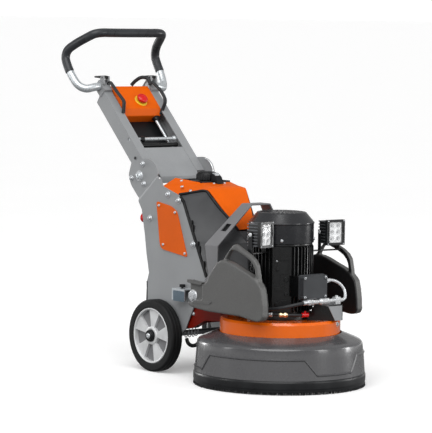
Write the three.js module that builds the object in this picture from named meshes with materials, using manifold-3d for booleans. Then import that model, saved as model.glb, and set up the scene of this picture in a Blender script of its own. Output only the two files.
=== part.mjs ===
// Walk-behind planetary concrete grinder. Millimetres, +Z up, +X forward (towards the grinding head),
// +Y to the left. The group is centred over its own footprint, and the floor is z = 0.
import * as THREE from 'three';
import { mergeVertices } from 'three/addons/utils/BufferGeometryUtils.js';
import Module from 'manifold-3d';

const wasm = await Module();
wasm.setup();

// ---------------------------------------------------------------- driving dimensions
// x is measured from the grinding head's axis until the whole group is centred at the end.
const GAP = 0.3; // between pieces that touch
const SHEET = 4; // frame sheet metal

const SKIRT_RADIUS = 285;
const SKIRT_TOP = 45;
const DRUM_RADIUS = 199;
const DRUM_TOP = 222;
const DRUM_BOTTOM = 112;

const GEAR_MODULE = 11;
const SUN_TEETH = 15;
const PLANET_TEETH = 9;
const RING_TEETH = SUN_TEETH + 2 * PLANET_TEETH;
const ORBIT_RADIUS = (GEAR_MODULE * (SUN_TEETH + PLANET_TEETH)) / 2;
const GEAR_BOTTOM = 118;
const GEAR_TOP = 142;
const DISC_RADIUS = 112;
const SPINDLE_RADIUS = 20;
const DISC_COUNT = 3;

const STATOR_ROOT_RADIUS = 98;
const STATOR_FIN_RADIUS = 107.5;
const STATOR_BOTTOM = DRUM_TOP + GAP;
const STATOR_TOP = 469;
const FIN_COUNT = 18;
const COWL_RADIUS = 107;
const COWL_BOTTOM = 470;
const COWL_SHOULDER = 538;
const COWL_TOP = 570;
const SHAFT_RADIUS = 14;

const PLATE_OUTER = 134; // side plates, out from the middle
const HINGE_OUTER = 125; // upper ears of the side plates
const HOOD_HALF = 129.5; // covers between the side plates

const AXLE = { x: -460.5, z: 123, radius: 10 };
const TYRE_RADIUS = 123;
const RIM_RADIUS = 94;
const WHEEL_INNER = 138;
const WHEEL_OUTER = 183;
const SPOKE_COUNT = 5;
const SPOKE_TURN = THREE.MathUtils.degToRad(9);

const MAST_PIVOT = { x: -604, z: 656 };
const ARM_OUTER = 120.4;
const ARM_LENGTH = 364;
const ARM_FRONT = 48;
const ARM_REAR = -8;
const FLANGE_INNER = 85;

const HANDLE = { x: -846, z: 955, radius: 14 };
const GRIP_RADIUS = 18;

const WEIGHT_PIVOT = { x: -203, z: 284 };
const WEIGHT_INNER = 189;
const WEIGHT_OUTER = 217;
const WEIGHT_RECESS = 205; // floor of the recess round the pivot bolt
const YOKE_FACE = 148;
const YOKE_STRIP = 5;

const LAMP = { half: 36, height: 42, rear: -20, front: 40 };
// Each lamp's x, y and z, and its turn in degrees.
const LAMP_PLACES = { right: [48, -145, 504, 14], left: [71, 146, 502, -6] };

const SIDES = [
  ['right', -1],
  ['left', 1],
];

// ---------------------------------------------------------------- shape helpers
function signedVolume(geometry) {
  const flat = geometry.index ? geometry.toNonIndexed() : geometry;
  const position = flat.getAttribute('position');
  const [a, b, c] = [new THREE.Vector3(), new THREE.Vector3(), new THREE.Vector3()];
  let sum = 0;
  for (let i = 0; i < position.count; i += 3) {
    a.fromBufferAttribute(position, i);
    b.fromBufferAttribute(position, i + 1);
    c.fromBufferAttribute(position, i + 2);
    sum += a.dot(b.cross(c));
  }
  return sum / 6;
}

function solidOf(geometry) {
  const bare = new THREE.BufferGeometry();
  const flat = geometry.index ? geometry.toNonIndexed() : geometry;
  bare.setAttribute('position', flat.getAttribute('position').clone());
  const merged = mergeVertices(bare, 1e-3);
  const triVerts = new Uint32Array(merged.index.array);
  if (signedVolume(geometry) < 0) {
    for (let i = 0; i < triVerts.length; i += 3) {
      [triVerts[i + 1], triVerts[i + 2]] = [triVerts[i + 2], triVerts[i + 1]];
    }
  }
  const vertProperties = new Float32Array(merged.getAttribute('position').array);
  return new wasm.Manifold(new wasm.Mesh({ numProp: 3, vertProperties, triVerts }));
}

function geometryOf(solid) {
  const mesh = solid.getMesh();
  const geometry = new THREE.BufferGeometry();
  geometry.setAttribute('position', new THREE.BufferAttribute(new Float32Array(mesh.vertProperties), 3));
  geometry.setIndex(new THREE.BufferAttribute(new Uint32Array(mesh.triVerts), 1));
  return geometry;
}

const join = (...parts) => geometryOf(parts.map(solidOf).reduce((a, b) => a.add(b)));
const cut = (body, ...tools) => geometryOf(tools.map(solidOf).reduce((a, b) => a.subtract(b), solidOf(body)));
const overlap = (a, b) => geometryOf(solidOf(a).intersect(solidOf(b)));

// A closed outline; corners are rounded where a radius is given.
function outline(points, radius = 0) {
  const shape = new THREE.Shape();
  const corners = points.map(([x, y]) => new THREE.Vector2(x, y));
  corners.forEach((corner, i) => {
    const before = corners[(i + corners.length - 1) % corners.length];
    const after = corners[(i + 1) % corners.length];
    const reach = Math.min(radius, corner.distanceTo(before) / 2.1, corner.distanceTo(after) / 2.1);
    const start = corner.clone().add(before.clone().sub(corner).setLength(reach));
    const end = corner.clone().add(after.clone().sub(corner).setLength(reach));
    if (i === 0) shape.moveTo(start.x, start.y);
    else shape.lineTo(start.x, start.y);
    if (reach > 0) shape.quadraticCurveTo(corner.x, corner.y, end.x, end.y);
  });
  return shape;
}

// The outline of a sheet of constant thickness that follows a bent line, to the left of it.
function bentStrip(points, thickness) {
  const line = points.map(([x, y]) => new THREE.Vector2(x, y));
  const normals = line.slice(1).map((p, i) => {
    const d = p.clone().sub(line[i]).normalize();
    return new THREE.Vector2(-d.y, d.x);
  });
  const offset = line.map((p, i) => {
    const [n, m] = [normals[Math.max(i - 1, 0)], normals[Math.min(i, normals.length - 1)]];
    const mitre = n.clone().add(m).normalize();
    return p.clone().addScaledVector(mitre, thickness / mitre.dot(m));
  });
  return outline([...line, ...offset.reverse()].map((p) => [p.x, p.y]));
}

function extrude(shape, depth) {
  return new THREE.ExtrudeGeometry(shape, { depth, bevelEnabled: false, curveSegments: 2 });
}

// Slabs of an outline: drawn in x-z and thick along y, in y-z and thick along x, or in x-y along z.
function slabXZ(shape, yA, yB) {
  return extrude(shape, Math.abs(yB - yA)).rotateX(Math.PI / 2).translate(0, Math.max(yA, yB), 0);
}

const YZ_PLANE = new THREE.Matrix4().makeBasis(
  new THREE.Vector3(0, 1, 0),
  new THREE.Vector3(0, 0, 1),
  new THREE.Vector3(1, 0, 0),
);

function slabYZ(shape, xA, xB) {
  return extrude(shape, Math.abs(xB - xA)).applyMatrix4(YZ_PLANE).translate(Math.min(xA, xB), 0, 0);
}

function slabXY(shape, zA, zB) {
  return extrude(shape, Math.abs(zB - zA)).translate(0, 0, Math.min(zA, zB));
}

function box(xA, xB, yA, yB, zA, zB) {
  const geometry = new THREE.BoxGeometry(Math.abs(xB - xA), Math.abs(yB - yA), Math.abs(zB - zA));
  return geometry.translate((xA + xB) / 2, (yA + yB) / 2, (zA + zB) / 2);
}

// Turned shapes: a profile of [radius, height], round +Z or round +Y.
function turnedY(profile, segments = 28) {
  return new THREE.LatheGeometry(profile.map(([r, h]) => new THREE.Vector2(r, h)), segments);
}

function turnedZ(profile, segments = 28) {
  return turnedY(profile, segments).rotateX(Math.PI / 2);
}

function disc(radius, zA, zB, segments = 16) {
  return turnedZ([[0, zA], [radius, zA], [radius, zB], [0, zB]], segments);
}

function ring(inner, outer, zA, zB, segments = 32) {
  return turnedZ([[inner, zA], [outer, zA], [outer, zB], [inner, zB], [inner, zA]], segments);
}

function rod(from, to, radius, sides = 10) {
  const [a, b] = [new THREE.Vector3(...from), new THREE.Vector3(...to)];
  const axis = b.clone().sub(a);
  const upright = new THREE.Vector3(0, 1, 0);
  const turn = new THREE.Quaternion().setFromUnitVectors(upright, axis.clone().normalize());
  const middle = a.add(b).multiplyScalar(0.5);
  return new THREE.CylinderGeometry(radius, radius, axis.length(), sides)
    .applyQuaternion(turn)
    .translate(middle.x, middle.y, middle.z);
}

const crossRod = (x, z, yA, yB, radius, sides = 10) => rod([x, yA, z], [x, yB, z], radius, sides);

// A solid through matching convex sections, each a list of [x, y, z].
function loft(sections) {
  const corners = [];
  const size = sections[0].length;
  const triangle = (a, b, c) => corners.push(...a, ...b, ...c);
  for (let k = 0; k + 1 < sections.length; k += 1) {
    for (let i = 0; i < size; i += 1) {
      const j = (i + 1) % size;
      // Opposite faces of a twisted sheet are split along the same diagonal.
      const [near, far] = i < size / 2 ? [i, j] : [j, i];
      triangle(sections[k][i], sections[k][j], sections[k + 1][far]);
      triangle(sections[k][near], sections[k + 1][j], sections[k + 1][i]);
    }
  }
  const [first, last] = [sections[0], sections[sections.length - 1]];
  for (let i = 1; i + 1 < size; i += 1) {
    triangle(first[0], first[i + 1], first[i]);
    triangle(last[0], last[i], last[i + 1]);
  }
  const geometry = new THREE.BufferGeometry();
  geometry.setAttribute('position', new THREE.Float32BufferAttribute(corners, 3));
  return geometry;
}

// A flat panel: its outer corners, and the same corners shifted by its thickness.
function panel(corners, [dx, dy, dz]) {
  return loft([corners, corners.map(([x, y, z]) => [x + dx, y + dy, z + dz])]);
}

function circle(radius, sides) {
  const points = [];
  for (let i = 0; i < sides; i += 1) {
    const angle = (2 * Math.PI * i) / sides;
    points.push([radius * Math.cos(angle), radius * Math.sin(angle)]);
  }
  return outline(points);
}

function tube(path, radius, { sides = 8, steps = 24, bore = 0 } = {}) {
  const section = circle(radius, sides);
  if (bore) section.holes.push(circle(bore, sides));
  return new THREE.ExtrudeGeometry(section, { extrudePath: path, steps, bevelEnabled: false });
}

const smooth = (points) => new THREE.CatmullRomCurve3(points.map((p) => new THREE.Vector3(...p)));

// ---------------------------------------------------------------- finishes and placing
const FINISHES = {
  greyPaint: [0x949698, 0.5, 0.25],
  castGrey: [0x6c6c6a, 0.75, 0.3],
  shroudGrey: [0x616163, 0.4, 0.3],
  orange: [0xe0601c, 0.4, 0.1],
  darkPlastic: [0x555658, 0.5, 0.0],
  blackPaint: [0x1a1a1c, 0.5, 0.2],
  blackPlastic: [0x1c1c1e, 0.6, 0.0],
  rubber: [0x323436, 0.85, 0.0],
  steel: [0xb8bcc0, 0.3, 0.9],
  castAlloy: [0xbebebe, 0.4, 0.7],
  red: [0xc81414, 0.4, 0.0],
  hose: [0x202022, 0.7, 0.0],
};

const machine = new THREE.Group();
const assembly = new THREE.Group();
machine.add(assembly);

function place(name, geometry, finish) {
  const [color, roughness, metalness] = FINISHES[finish];
  const mesh = new THREE.Mesh(geometry, new THREE.MeshStandardMaterial({ color, roughness, metalness }));
  mesh.name = name;
  assembly.add(mesh);
}

// ---------------------------------------------------------------- planetary head
const orbitAngle = (k) => (2 * Math.PI * k) / DISC_COUNT + Math.PI;
const orbitPoint = (k) => [ORBIT_RADIUS * Math.cos(orbitAngle(k)), ORBIT_RADIUS * Math.sin(orbitAngle(k))];

// Straight-sided teeth; a tooth's middle lies at the angle `phase`. An internal gear's teeth point inwards.
function gearOutline(teeth, phase, internal = false) {
  const pitchRadius = (GEAR_MODULE * teeth) / 2;
  const [tooth, space] = [0.5 * GEAR_MODULE, 0.8 * GEAR_MODULE];
  const [tip, root] = internal
    ? [pitchRadius - tooth, pitchRadius + space]
    : [pitchRadius + tooth, pitchRadius - space];
  const pitch = (2 * Math.PI) / teeth;
  const points = [];
  for (let i = 0; i < teeth; i += 1) {
    const middle = phase + i * pitch;
    for (const [radius, share] of [[root, -0.26], [tip, -0.12], [tip, 0.12], [root, 0.26]]) {
      const angle = middle + share * pitch;
      points.push([radius * Math.cos(angle), radius * Math.sin(angle)]);
    }
  }
  return outline(points);
}

function headHousing() {
  const wall = turnedZ([
    [190, DRUM_BOTTOM], [DRUM_RADIUS, DRUM_BOTTOM], [DRUM_RADIUS, 214], [193, DRUM_TOP],
    [17, DRUM_TOP], [17, 170], [50, 170], [50, 206], [190, 206], [190, DRUM_BOTTOM],
  ], 40);
  const ringGear = circle(194, 40);
  ringGear.holes.push(gearOutline(RING_TEETH, orbitAngle(0) + Math.PI / RING_TEETH, true));
  return join(wall, slabXY(ringGear, GEAR_BOTTOM - 2, GEAR_TOP + 2));
}

function planetCarrier() {
  const bearings = [];
  const bores = [];
  for (let k = 0; k < DISC_COUNT; k += 1) {
    const [x, y] = orbitPoint(k);
    bearings.push(disc(36, 46, 104).translate(x, y, 0));
    bores.push(disc(SPINDLE_RADIUS + 0.5, 40, 110).translate(x, y, 0));
  }
  const body = join(disc(176, 66, 80, 32), disc(45, 66, 112), ...bearings);
  return cut(body, ...bores, disc(SHAFT_RADIUS + 0.5, 88, 120));
}

function grindingDisc(k) {
  const plate = disc(DISC_RADIUS, 14, 26, 30);
  const spindle = disc(SPINDLE_RADIUS, 20, 148, 16);
  const collar = disc(44, 26, 40);
  const gear = slabXY(gearOutline(PLANET_TEETH, orbitAngle(k)), GEAR_BOTTOM, GEAR_TOP);
  const segments = [];
  for (let i = 0; i < 6; i += 1) {
    const block = box(60, 106, -11, 11, 0, 14.5);
    segments.push(block.rotateZ((i * Math.PI) / 3));
  }
  const tool = join(plate, collar, ...segments).translate(...orbitPoint(k), 0);
  return join(tool, gear.translate(...orbitPoint(k), 0), spindle.translate(...orbitPoint(k), 0));
}

place('head_housing', headHousing(), 'orange');
place('planet_carrier', planetCarrier(), 'steel');
for (let k = 0; k < DISC_COUNT; k += 1) place(`grinding_disc_${k + 1}`, grindingDisc(k), 'castGrey');

// The bracket that ties the head to the frame: two cheeks, a cross plate and the weights' pivot bosses.
function headBracket() {
  const cheekShape = outline([
    [-120, 226], [-150, 232], [-178, 262], [-188, 300], [-222, 300], [-262, 262], [-318, 248],
    [-344, 160], [-306, 160], [-240, 192], [-150, 200],
  ], 6);
  const cheeks = SIDES.map(([, s]) => slabXZ(cheekShape, s * 100, s * 126));
  const crossPlate = box(-308, -296, -110, 110, 176, 240);
  const { x, z } = WEIGHT_PIVOT;
  const bosses = SIDES.map(([, s]) => crossRod(x, z, s * 110, s * (YOKE_FACE - GAP), 16));
  const bores = SIDES.map(([, s]) => crossRod(x, z, s * 90, s * 160, 9.3));
  const drumRoom = disc(DRUM_RADIUS + GAP, 100, DRUM_TOP, 40);
  const motorRoom = disc(122, DRUM_TOP - 1, 330, 24);
  const feet = SIDES.map(([, s]) => box(-190, -120, s * 100, s * 126, DRUM_TOP + GAP, 236));
  return cut(join(...cheeks, crossPlate, ...bosses, ...feet), ...bores, drumRoom, motorRoom);
}
place('head_bracket', headBracket(), 'orange');

// ---------------------------------------------------------------- shroud and skirt
function shroud() {
  const shell = turnedZ([
    [276, SKIRT_TOP + GAP], [280, SKIRT_TOP + GAP], [274, 130], [270, 144], [260, 152], [204, 176],
    [204, 171], [258, 147.5], [269, 132], [276, SKIRT_TOP + GAP],
  ], 48);
  const dustHole = rod([-300, 0, 104], [-220, 0, 104], 34.5, 24);
  return cut(shell, dustHole);
}

function dustPort() {
  const wall = (radius, xA, xB) => rod([xA, 0, 104], [xB, 0, 104], radius, 24);
  const shellRoom = disc(281, 0, 200, 48);
  const pipe = join(wall(38, -345, -262), wall(41, -345, -337), wall(52, -284, -262));
  return cut(pipe, wall(33, -350, -200), shellRoom);
}

place('shroud', shroud(), 'shroudGrey');
place('dust_port', dustPort(), 'blackPlastic');
place('brush_skirt', ring(272, SKIRT_RADIUS, 0, SKIRT_TOP, 48), 'rubber');

// ---------------------------------------------------------------- motor
function motorStator() {
  const fins = [];
  const step = (2 * Math.PI) / FIN_COUNT;
  for (let i = 0; i < FIN_COUNT; i += 1) {
    const profile = [[STATOR_ROOT_RADIUS, -0.34], [STATOR_FIN_RADIUS, -0.14], [STATOR_FIN_RADIUS, 0.14]];
    for (const [radius, share] of [...profile, [STATOR_ROOT_RADIUS, 0.34]]) {
      const angle = (i + share) * step;
      fins.push([radius * Math.cos(angle), radius * Math.sin(angle)]);
    }
  }
  const body = outline(fins);
  body.holes.push(circle(56, 24));
  return join(
    slabXY(body, STATOR_BOTTOM + 10, STATOR_TOP - 6),
    ring(17, 118, STATOR_BOTTOM, STATOR_BOTTOM + 16),
    ring(17, STATOR_ROOT_RADIUS, STATOR_TOP - 8, STATOR_TOP, 32),
  );
}

function motorRotor() {
  const gear = slabXY(gearOutline(SUN_TEETH, orbitAngle(0)), GEAR_BOTTOM, GEAR_TOP);
  return join(disc(SHAFT_RADIUS, 92, 530, 20), disc(54, 260, 440, 24), gear);
}

function coolingFan() {
  const blades = [];
  for (let i = 0; i < 6; i += 1) blades.push(box(18, 92, -1.5, 1.5, 482, 520).rotateZ((Math.PI * i) / 3));
  const back = ring(SHAFT_RADIUS + GAP, 94, 480, 484, 24);
  const wheel = join(ring(SHAFT_RADIUS + GAP, 24, 480, 522, 20), back, ...blades);
  return cut(wheel, disc(SHAFT_RADIUS + GAP, 470, 530, 20));
}

function fanCowl() {
  const shell = turnedZ([
    [103.5, COWL_BOTTOM], [COWL_RADIUS, COWL_BOTTOM], [COWL_RADIUS, COWL_SHOULDER], [82, COWL_TOP - 2],
    [79, COWL_TOP], [24, COWL_TOP], [24, COWL_TOP - 4], [77, COWL_TOP - 4], [103.5, COWL_SHOULDER - 3],
    [103.5, COWL_BOTTOM],
  ]);
  const slots = [];
  for (let i = 0; i < 8; i += 1) {
    slots.push(box(36, 70, -5, 5, COWL_TOP - 10, COWL_TOP + 5).rotateZ((Math.PI * i) / 4));
  }
  return cut(shell, ...slots);
}

place('motor_stator', motorStator(), 'blackPaint');
place('motor_rotor', motorRotor(), 'steel');
place('cooling_fan', coolingFan(), 'blackPlastic');
place('fan_cowl', fanCowl(), 'blackPaint');

// Terminal box on the motor's front, with its lid.
const LID = { back: 150, face: 175, half: 54, low: 293, high: 375 };
const terminalBody = box(96, LID.back - GAP, -47, 47, 300, 368);
place('terminal_box', cut(terminalBody, disc(STATOR_FIN_RADIUS + GAP, 290, 380, 60)), 'blackPaint');
const lidShape = outline([
  [-LID.half, LID.low], [LID.half, LID.low], [LID.half, LID.high], [-LID.half, LID.high],
], 5);
place('terminal_lid', slabYZ(lidShape, LID.back, LID.face), 'blackPaint');

// Water bracket and valve in front of the motor, with the hose and the braided conduit.
const VALVE = { x: 190, z: 289, low: 275 };
function valveBracket() {
  const side = outline([
    [0, DRUM_TOP + GAP], [98, DRUM_TOP + GAP], [98, VALVE.low], [40, VALVE.low],
  ]);
  const inside = outline([[10, DRUM_TOP - 5], [94, DRUM_TOP - 5], [94, VALVE.low - 4], [42, VALVE.low - 4]]);
  return cut(slabYZ(side, 130, 198), slabYZ(inside, 120, 194));
}
function waterValve() {
  return join(
    rod([VALVE.x, -50, VALVE.z], [VALVE.x, 92, VALVE.z], 6, 12),
    rod([VALVE.x, -46, VALVE.z], [VALVE.x, -24, VALVE.z], 10.5, 6),
    rod([VALVE.x, 4, VALVE.z], [VALVE.x, 44, VALVE.z], 9.5, 12),
    box(VALVE.x - 11, VALVE.x + 8, 68, 90, VALVE.low + GAP, VALVE.z + 12),
  );
}
place('valve_bracket', valveBracket(), 'greyPaint');
place('water_valve', waterValve(), 'steel');
const conduitRoute = smooth([
  [163, 54.5, 352], [163, 74, 353], [166, 104, 344], [173, 124, 322], [182, 122, 299], [189.5, 106, 289.5],
  [190, 92.9, 289],
]);
place('motor_conduit', tube(conduitRoute, 5, { steps: 18 }), 'steel');
const hoseRoute = smooth([
  [190, -50.9, 289], [190, -62, 288.5], [176, -96, 281], [140, -126, 270], [80, -146, 262], [10, -154, 260],
  [-70, -152, 260], [-122, -142, 262], [-142, -134, 262], [-158, -132, 262], [-166, -126.6, 262],
]);
place('water_hose', tube(hoseRoute, 6, { steps: 28 }), 'hose');

// ---------------------------------------------------------------- lifting yoke
function liftingYoke() {
  const [bend, top] = [450, 583];
  const half = [[YOKE_FACE, 255], [YOKE_FACE, bend], [38, top]];
  const line = [...half.map(([y, z]) => [-y, z]), ...half.toReversed()];
  const strip = slabYZ(bentStrip(line, YOKE_STRIP), -240, -90);
  const sideView = outline([
    [-224, 250], [-184, 250], [-146, 330], [-144, bend], [-104, top + 7], [-154, top + 7], [-211, bend],
    [-190, 352], [-222, 312],
  ]);
  const window = slabXZ(outline([[-176, 497], [-150, 497], [-142, 521], [-168, 521]]), -200, 200);
  const bores = crossRod(WEIGHT_PIVOT.x, WEIGHT_PIVOT.z, -200, 200, 9.3);
  return cut(overlap(strip, slabXZ(sideView, -200, 200)), window, bores);
}
place('lifting_yoke', liftingYoke(), 'castGrey');

// ---------------------------------------------------------------- work lamps
// Each lamp is drawn straight ahead of its pivot at the origin, then turned in and put in place.
function lampPlace(geometry, side) {
  const [x, y, z, turn] = LAMP_PLACES[side];
  return geometry.rotateZ(THREE.MathUtils.degToRad(turn)).translate(x, y, z);
}

function workLamp(side) {
  const body = slabXZ(outline([
    [LAMP.rear, -LAMP.height + 6], [LAMP.front, -LAMP.height],
    [LAMP.front, LAMP.height], [LAMP.rear, LAMP.height - 6],
  ], 3), -LAMP.half, LAMP.half);
  const window = box(LAMP.front - 8, LAMP.front + 4, -26, 26, -LAMP.height + 8, LAMP.height - 8);
  const pin = crossRod(0, 0, -LAMP.half - 3, LAMP.half + 3, 4, 12);
  return lampPlace(join(cut(body, window), pin), side);
}

function lampBracket(side, sign) {
  const ear = LAMP.half + GAP;
  const [low, high] = [-62, 8];
  const frame = [
    box(-8, 8, -ear - 2.5, -ear, low, high),
    box(-8, 8, ear, ear + 2.5, low, high),
    box(-12, 12, -ear - 2.5, ear + 2.5, low, low + 3),
    box(-12, 12, -sign * 76, 0, low, low + 3),
  ];
  const bore = crossRod(0, 0, -60, 60, 4.4, 12);
  const placed = lampPlace(cut(join(...frame), bore), side);
  return cut(placed, disc(STATOR_FIN_RADIUS + GAP, 400, 490, 60));
}

for (const [side, sign] of SIDES) {
  place(`lamp_bracket_${side}`, lampBracket(side, sign), 'blackPaint');
  place(`work_lamp_${side}`, workLamp(side), 'blackPaint');
}

// ---------------------------------------------------------------- frame plates and covers
const LATCH = { x: -330, y: 150, low: 255, high: 294 };

function sidePlate(sign) {
  const plateShape = outline([
    [-597, 570], [-578, 543], [-559, 457], [-549, 395], [-540, 356], [-534, 329], [-544, 299], [-549, 233],
    [-510, 104], [-420, 96], [-330, 156], [-290, 231], [-222, 341], [-349, 586], [-369, 602], [-463, 629],
    [-473, 650], [-495, 655],
  ]);
  const ear = outline([
    [-652, 698], [-666, 656], [-651, 622], [-605, 578], [-503, 663], [-503, 675], [-513, 695], [-531, 710],
    [-560, 718], [-595, 716], [-630, 708],
  ], 8);
  const [y0, y1] = [sign * PLATE_OUTER, sign * (PLATE_OUTER - SHEET)];
  const [e0, e1] = [sign * HINGE_OUTER, sign * (HINGE_OUTER - SHEET)];
  const shoulder = loft([
    [[-597, y0, 570], [-591, y1, 565], [-601, e1, 573], [-607, e0, 578]],
    [[-495, y0, 655], [-489, y1, 650], [-499, e1, 658], [-505, e0, 663]],
  ]);
  const body = join(slabXZ(plateShape, y0, y1), slabXZ(ear, e0, e1), shoulder);
  const [b0, b1] = [sign * (PLATE_OUTER - 1), sign * (LATCH.y + 18)];
  const latchShell = cut(
    box(LATCH.x - 34, LATCH.x + 34, b0, b1, LATCH.low, LATCH.high),
    box(LATCH.x - 31, LATCH.x + 40, sign * PLATE_OUTER, b1 - sign * 3, LATCH.low - 5, LATCH.high - 3),
  );
  return cut(
    join(body, latchShell),
    crossRod(AXLE.x, AXLE.z, sign * 100, sign * 150, AXLE.radius + 0.8),
    crossRod(MAST_PIVOT.x, MAST_PIVOT.z, sign * 100, sign * 150, 8.4),
    rod([LATCH.x, sign * LATCH.y, 270], [LATCH.x, sign * LATCH.y, 310], 4.4, 12),
  );
}

const PANEL_SHAPE = outline([
  [-494, 577], [-415, 565], [-389, 553], [-378, 541], [-323, 399], [-461, 416], [-473, 432],
], 9);

for (const [side, sign] of SIDES) {
  place(`side_plate_${side}`, sidePlate(sign), 'greyPaint');
  const [near, far] = [sign * (PLATE_OUTER + GAP), sign * (PLATE_OUTER + 3)];
  place(`service_panel_${side}`, slabXZ(PANEL_SHAPE, near, far), 'orange');
  const knob = disc(10.5, LATCH.high + 4, LATCH.high + 14, 20);
  const pin = disc(4, 262, LATCH.high + 8, 12);
  place(`latch_plunger_${side}`, join(knob, pin).translate(LATCH.x, sign * LATCH.y, 0), 'blackPlastic');
}

// The hood's top facets, its front strip and the dark cover that wraps the front of the frame.
const STRIP = { topX: -283, topZ: 625, topHalf: 83, lowX: -174, lowZ: 498, lowHalf: 39 };
const CAP = { x: -392, neck: 25, radius: 36, low: 652, high: 679 };

function topHood() {
  const down = [0, 0, -4];
  const facets = SIDES.flatMap(([, s]) => [
    panel([
      [-485, s * 62, 655], [-470, s * HOOD_HALF, 629], [-385, s * HOOD_HALF, 607], [-345, s * 62, 646],
    ], down),
    panel([
      [-345, s * 62, 646], [-385, s * HOOD_HALF, 607], [-284, s * STRIP.topHalf, 628], [-284, s * 62, 631],
    ], down),
    panel([
      [-470, s * HOOD_HALF, 629], [-390, s * HOOD_HALF, 608],
      [-394, s * HOOD_HALF, 580], [-466, s * HOOD_HALF, 600],
    ], [0, -s * 3, 0]),
  ]);
  const frontBand = panel([
    [-345, -62.5, 646], [-345, 62.5, 646], [-284, 62.5, 631], [-284, -62.5, 631],
  ], down);
  const level = (x, half, z, inX, inZ) => [
    [x, -half, z], [x, half, z], [x - inX, half, z - inZ], [x - inX, -half, z - inZ],
  ];
  const strip = loft([
    level(-284, STRIP.topHalf, 631, 6, 5),
    level(STRIP.topX, STRIP.topHalf, STRIP.topZ, 5, 3),
    level(STRIP.lowX, STRIP.lowHalf, STRIP.lowZ, 5, 3),
  ]);
  return join(...facets, frontBand, strip);
}

function frontCover() {
  // Rear edge along the side plate and front edge along the strip, from the top down.
  const levels = [
    [[-383, 602], [-289, 83, 622.5]],
    [[-364, 596], [-284, 82.5, 616]],
    [[-347, 578], [-263, 75, 600]],
    [[-304, 500], [-177, 40.5, 498]],
    [[-281, 455], [-138, 25, 455]],
    [[-222, 341], [-132, 25, 341]],
  ];
  const sides = SIDES.map(([, s]) => loft(levels.map(([[x, z], [fx, fy, fz]]) => {
    const out = new THREE.Vector2(HOOD_HALF - fy, fx - x).normalize();
    const inner = out.multiplyScalar(-3.5);
    return [
      [x, s * HOOD_HALF, z], [fx, s * (fy + GAP + 0.4), fz],
      [fx - 5, s * (fy + GAP + 0.4), fz], [x + inner.x, s * (HOOD_HALF + inner.y), z],
    ];
  })));
  const nose = loft([
    [[-174, -40, 492], [-174, 40, 492], [-180, 40, 492], [-180, -40, 492]],
    [[-136, -28, 455], [-136, 28, 455], [-143, 28, 455], [-143, -28, 455]],
    [[-131, -28, 341], [-131, 28, 341], [-138, 28, 341], [-138, -28, 341]],
  ]);
  return join(...sides, nose);
}

function rearCover() {
  const line = [[-572, 548], [-556, 457], [-546, 395], [-537, 356], [-531, 329], [-541, 299], [-545, 240]];
  const body = slabXZ(bentStrip(line, 3), -HOOD_HALF, HOOD_HALF);
  return cut(body, rod([-620, -108, 512], [-500, -108, 512], 10));
}

place('top_hood', topHood(), 'orange');
place('front_cover', frontCover(), 'darkPlastic');
place('rear_cover', rearCover(), 'blackPlastic');
place('floor_pan', box(-536, -323, -HOOD_HALF, HOOD_HALF, 244, 248), 'greyPaint');

const switchKnob = join(
  rod([-600, -108, 512], [-574, -108, 512], 16, 24),
  rod([-576, -108, 512], [-556, -108, 512], 9, 16),
  box(-608, -598, -112, -104, 498, 526),
);
place('main_switch', switchKnob, 'red');

function waterTank() {
  const tankShape = outline([
    [-478, 470], [-330, 470], [-300, 520], [-330, 600], [-345, 636], [-478, 644],
  ], 8);
  return join(slabXZ(tankShape, -58, 58), disc(CAP.neck, 600, CAP.low + 4, 24).translate(CAP.x, 0, 0));
}
place('water_tank', waterTank(), 'blackPlastic');
const capCup = turnedZ([
  [0, CAP.low + 6], [CAP.neck + GAP, CAP.low + 6], [CAP.neck + GAP, CAP.low], [CAP.radius, CAP.low],
  [CAP.radius, CAP.high - 5], [CAP.radius - 6, CAP.high], [0, CAP.high],
], 28);
place('tank_cap', capCup.translate(CAP.x, 0, 0), 'blackPlastic');
const inverterShape = outline([[-526, 252], [-330, 252], [-330, 420], [-520, 420]], 6);
place('inverter_box', slabXZ(inverterShape, -110, 110), 'blackPlastic');

// ---------------------------------------------------------------- wheels
function wheelHub() {
  const rim = turnedY([
    [86, -20], [RIM_RADIUS, -20], [RIM_RADIUS, 20], [86, 20], [82, 0], [86, -20],
  ]);
  const web = new THREE.CylinderGeometry(84, 84, 16, 32);
  const hub = new THREE.CylinderGeometry(24, 24, 40, 16);
  const windows = [];
  const pitch = (2 * Math.PI) / SPOKE_COUNT;
  for (let i = 0; i < SPOKE_COUNT; i += 1) {
    const middle = SPOKE_TURN + (i + 0.5) * pitch;
    const corner = (radius, share) => [
      radius * Math.cos(middle + share * pitch),
      radius * Math.sin(middle + share * pitch),
    ];
    const shape = outline([
      corner(36, -0.2), corner(74, -0.35), corner(81, -0.12),
      corner(81, 0.12), corner(74, 0.35), corner(36, 0.2),
    ]);
    windows.push(slabXZ(shape, -30, 30));
  }
  const bore = new THREE.CylinderGeometry(AXLE.radius + 0.6, AXLE.radius + 0.6, 60, 16);
  return cut(join(rim, web, hub), ...windows, bore);
}

function tyre() {
  const half = (WHEEL_OUTER - WHEEL_INNER) / 2;
  return turnedY([
    [RIM_RADIUS + GAP, -half + 2], [118, -half], [TYRE_RADIUS, -half + 5], [TYRE_RADIUS, half - 5],
    [118, half], [RIM_RADIUS + GAP, half - 2], [RIM_RADIUS + GAP, -half + 2],
  ]);
}

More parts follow.
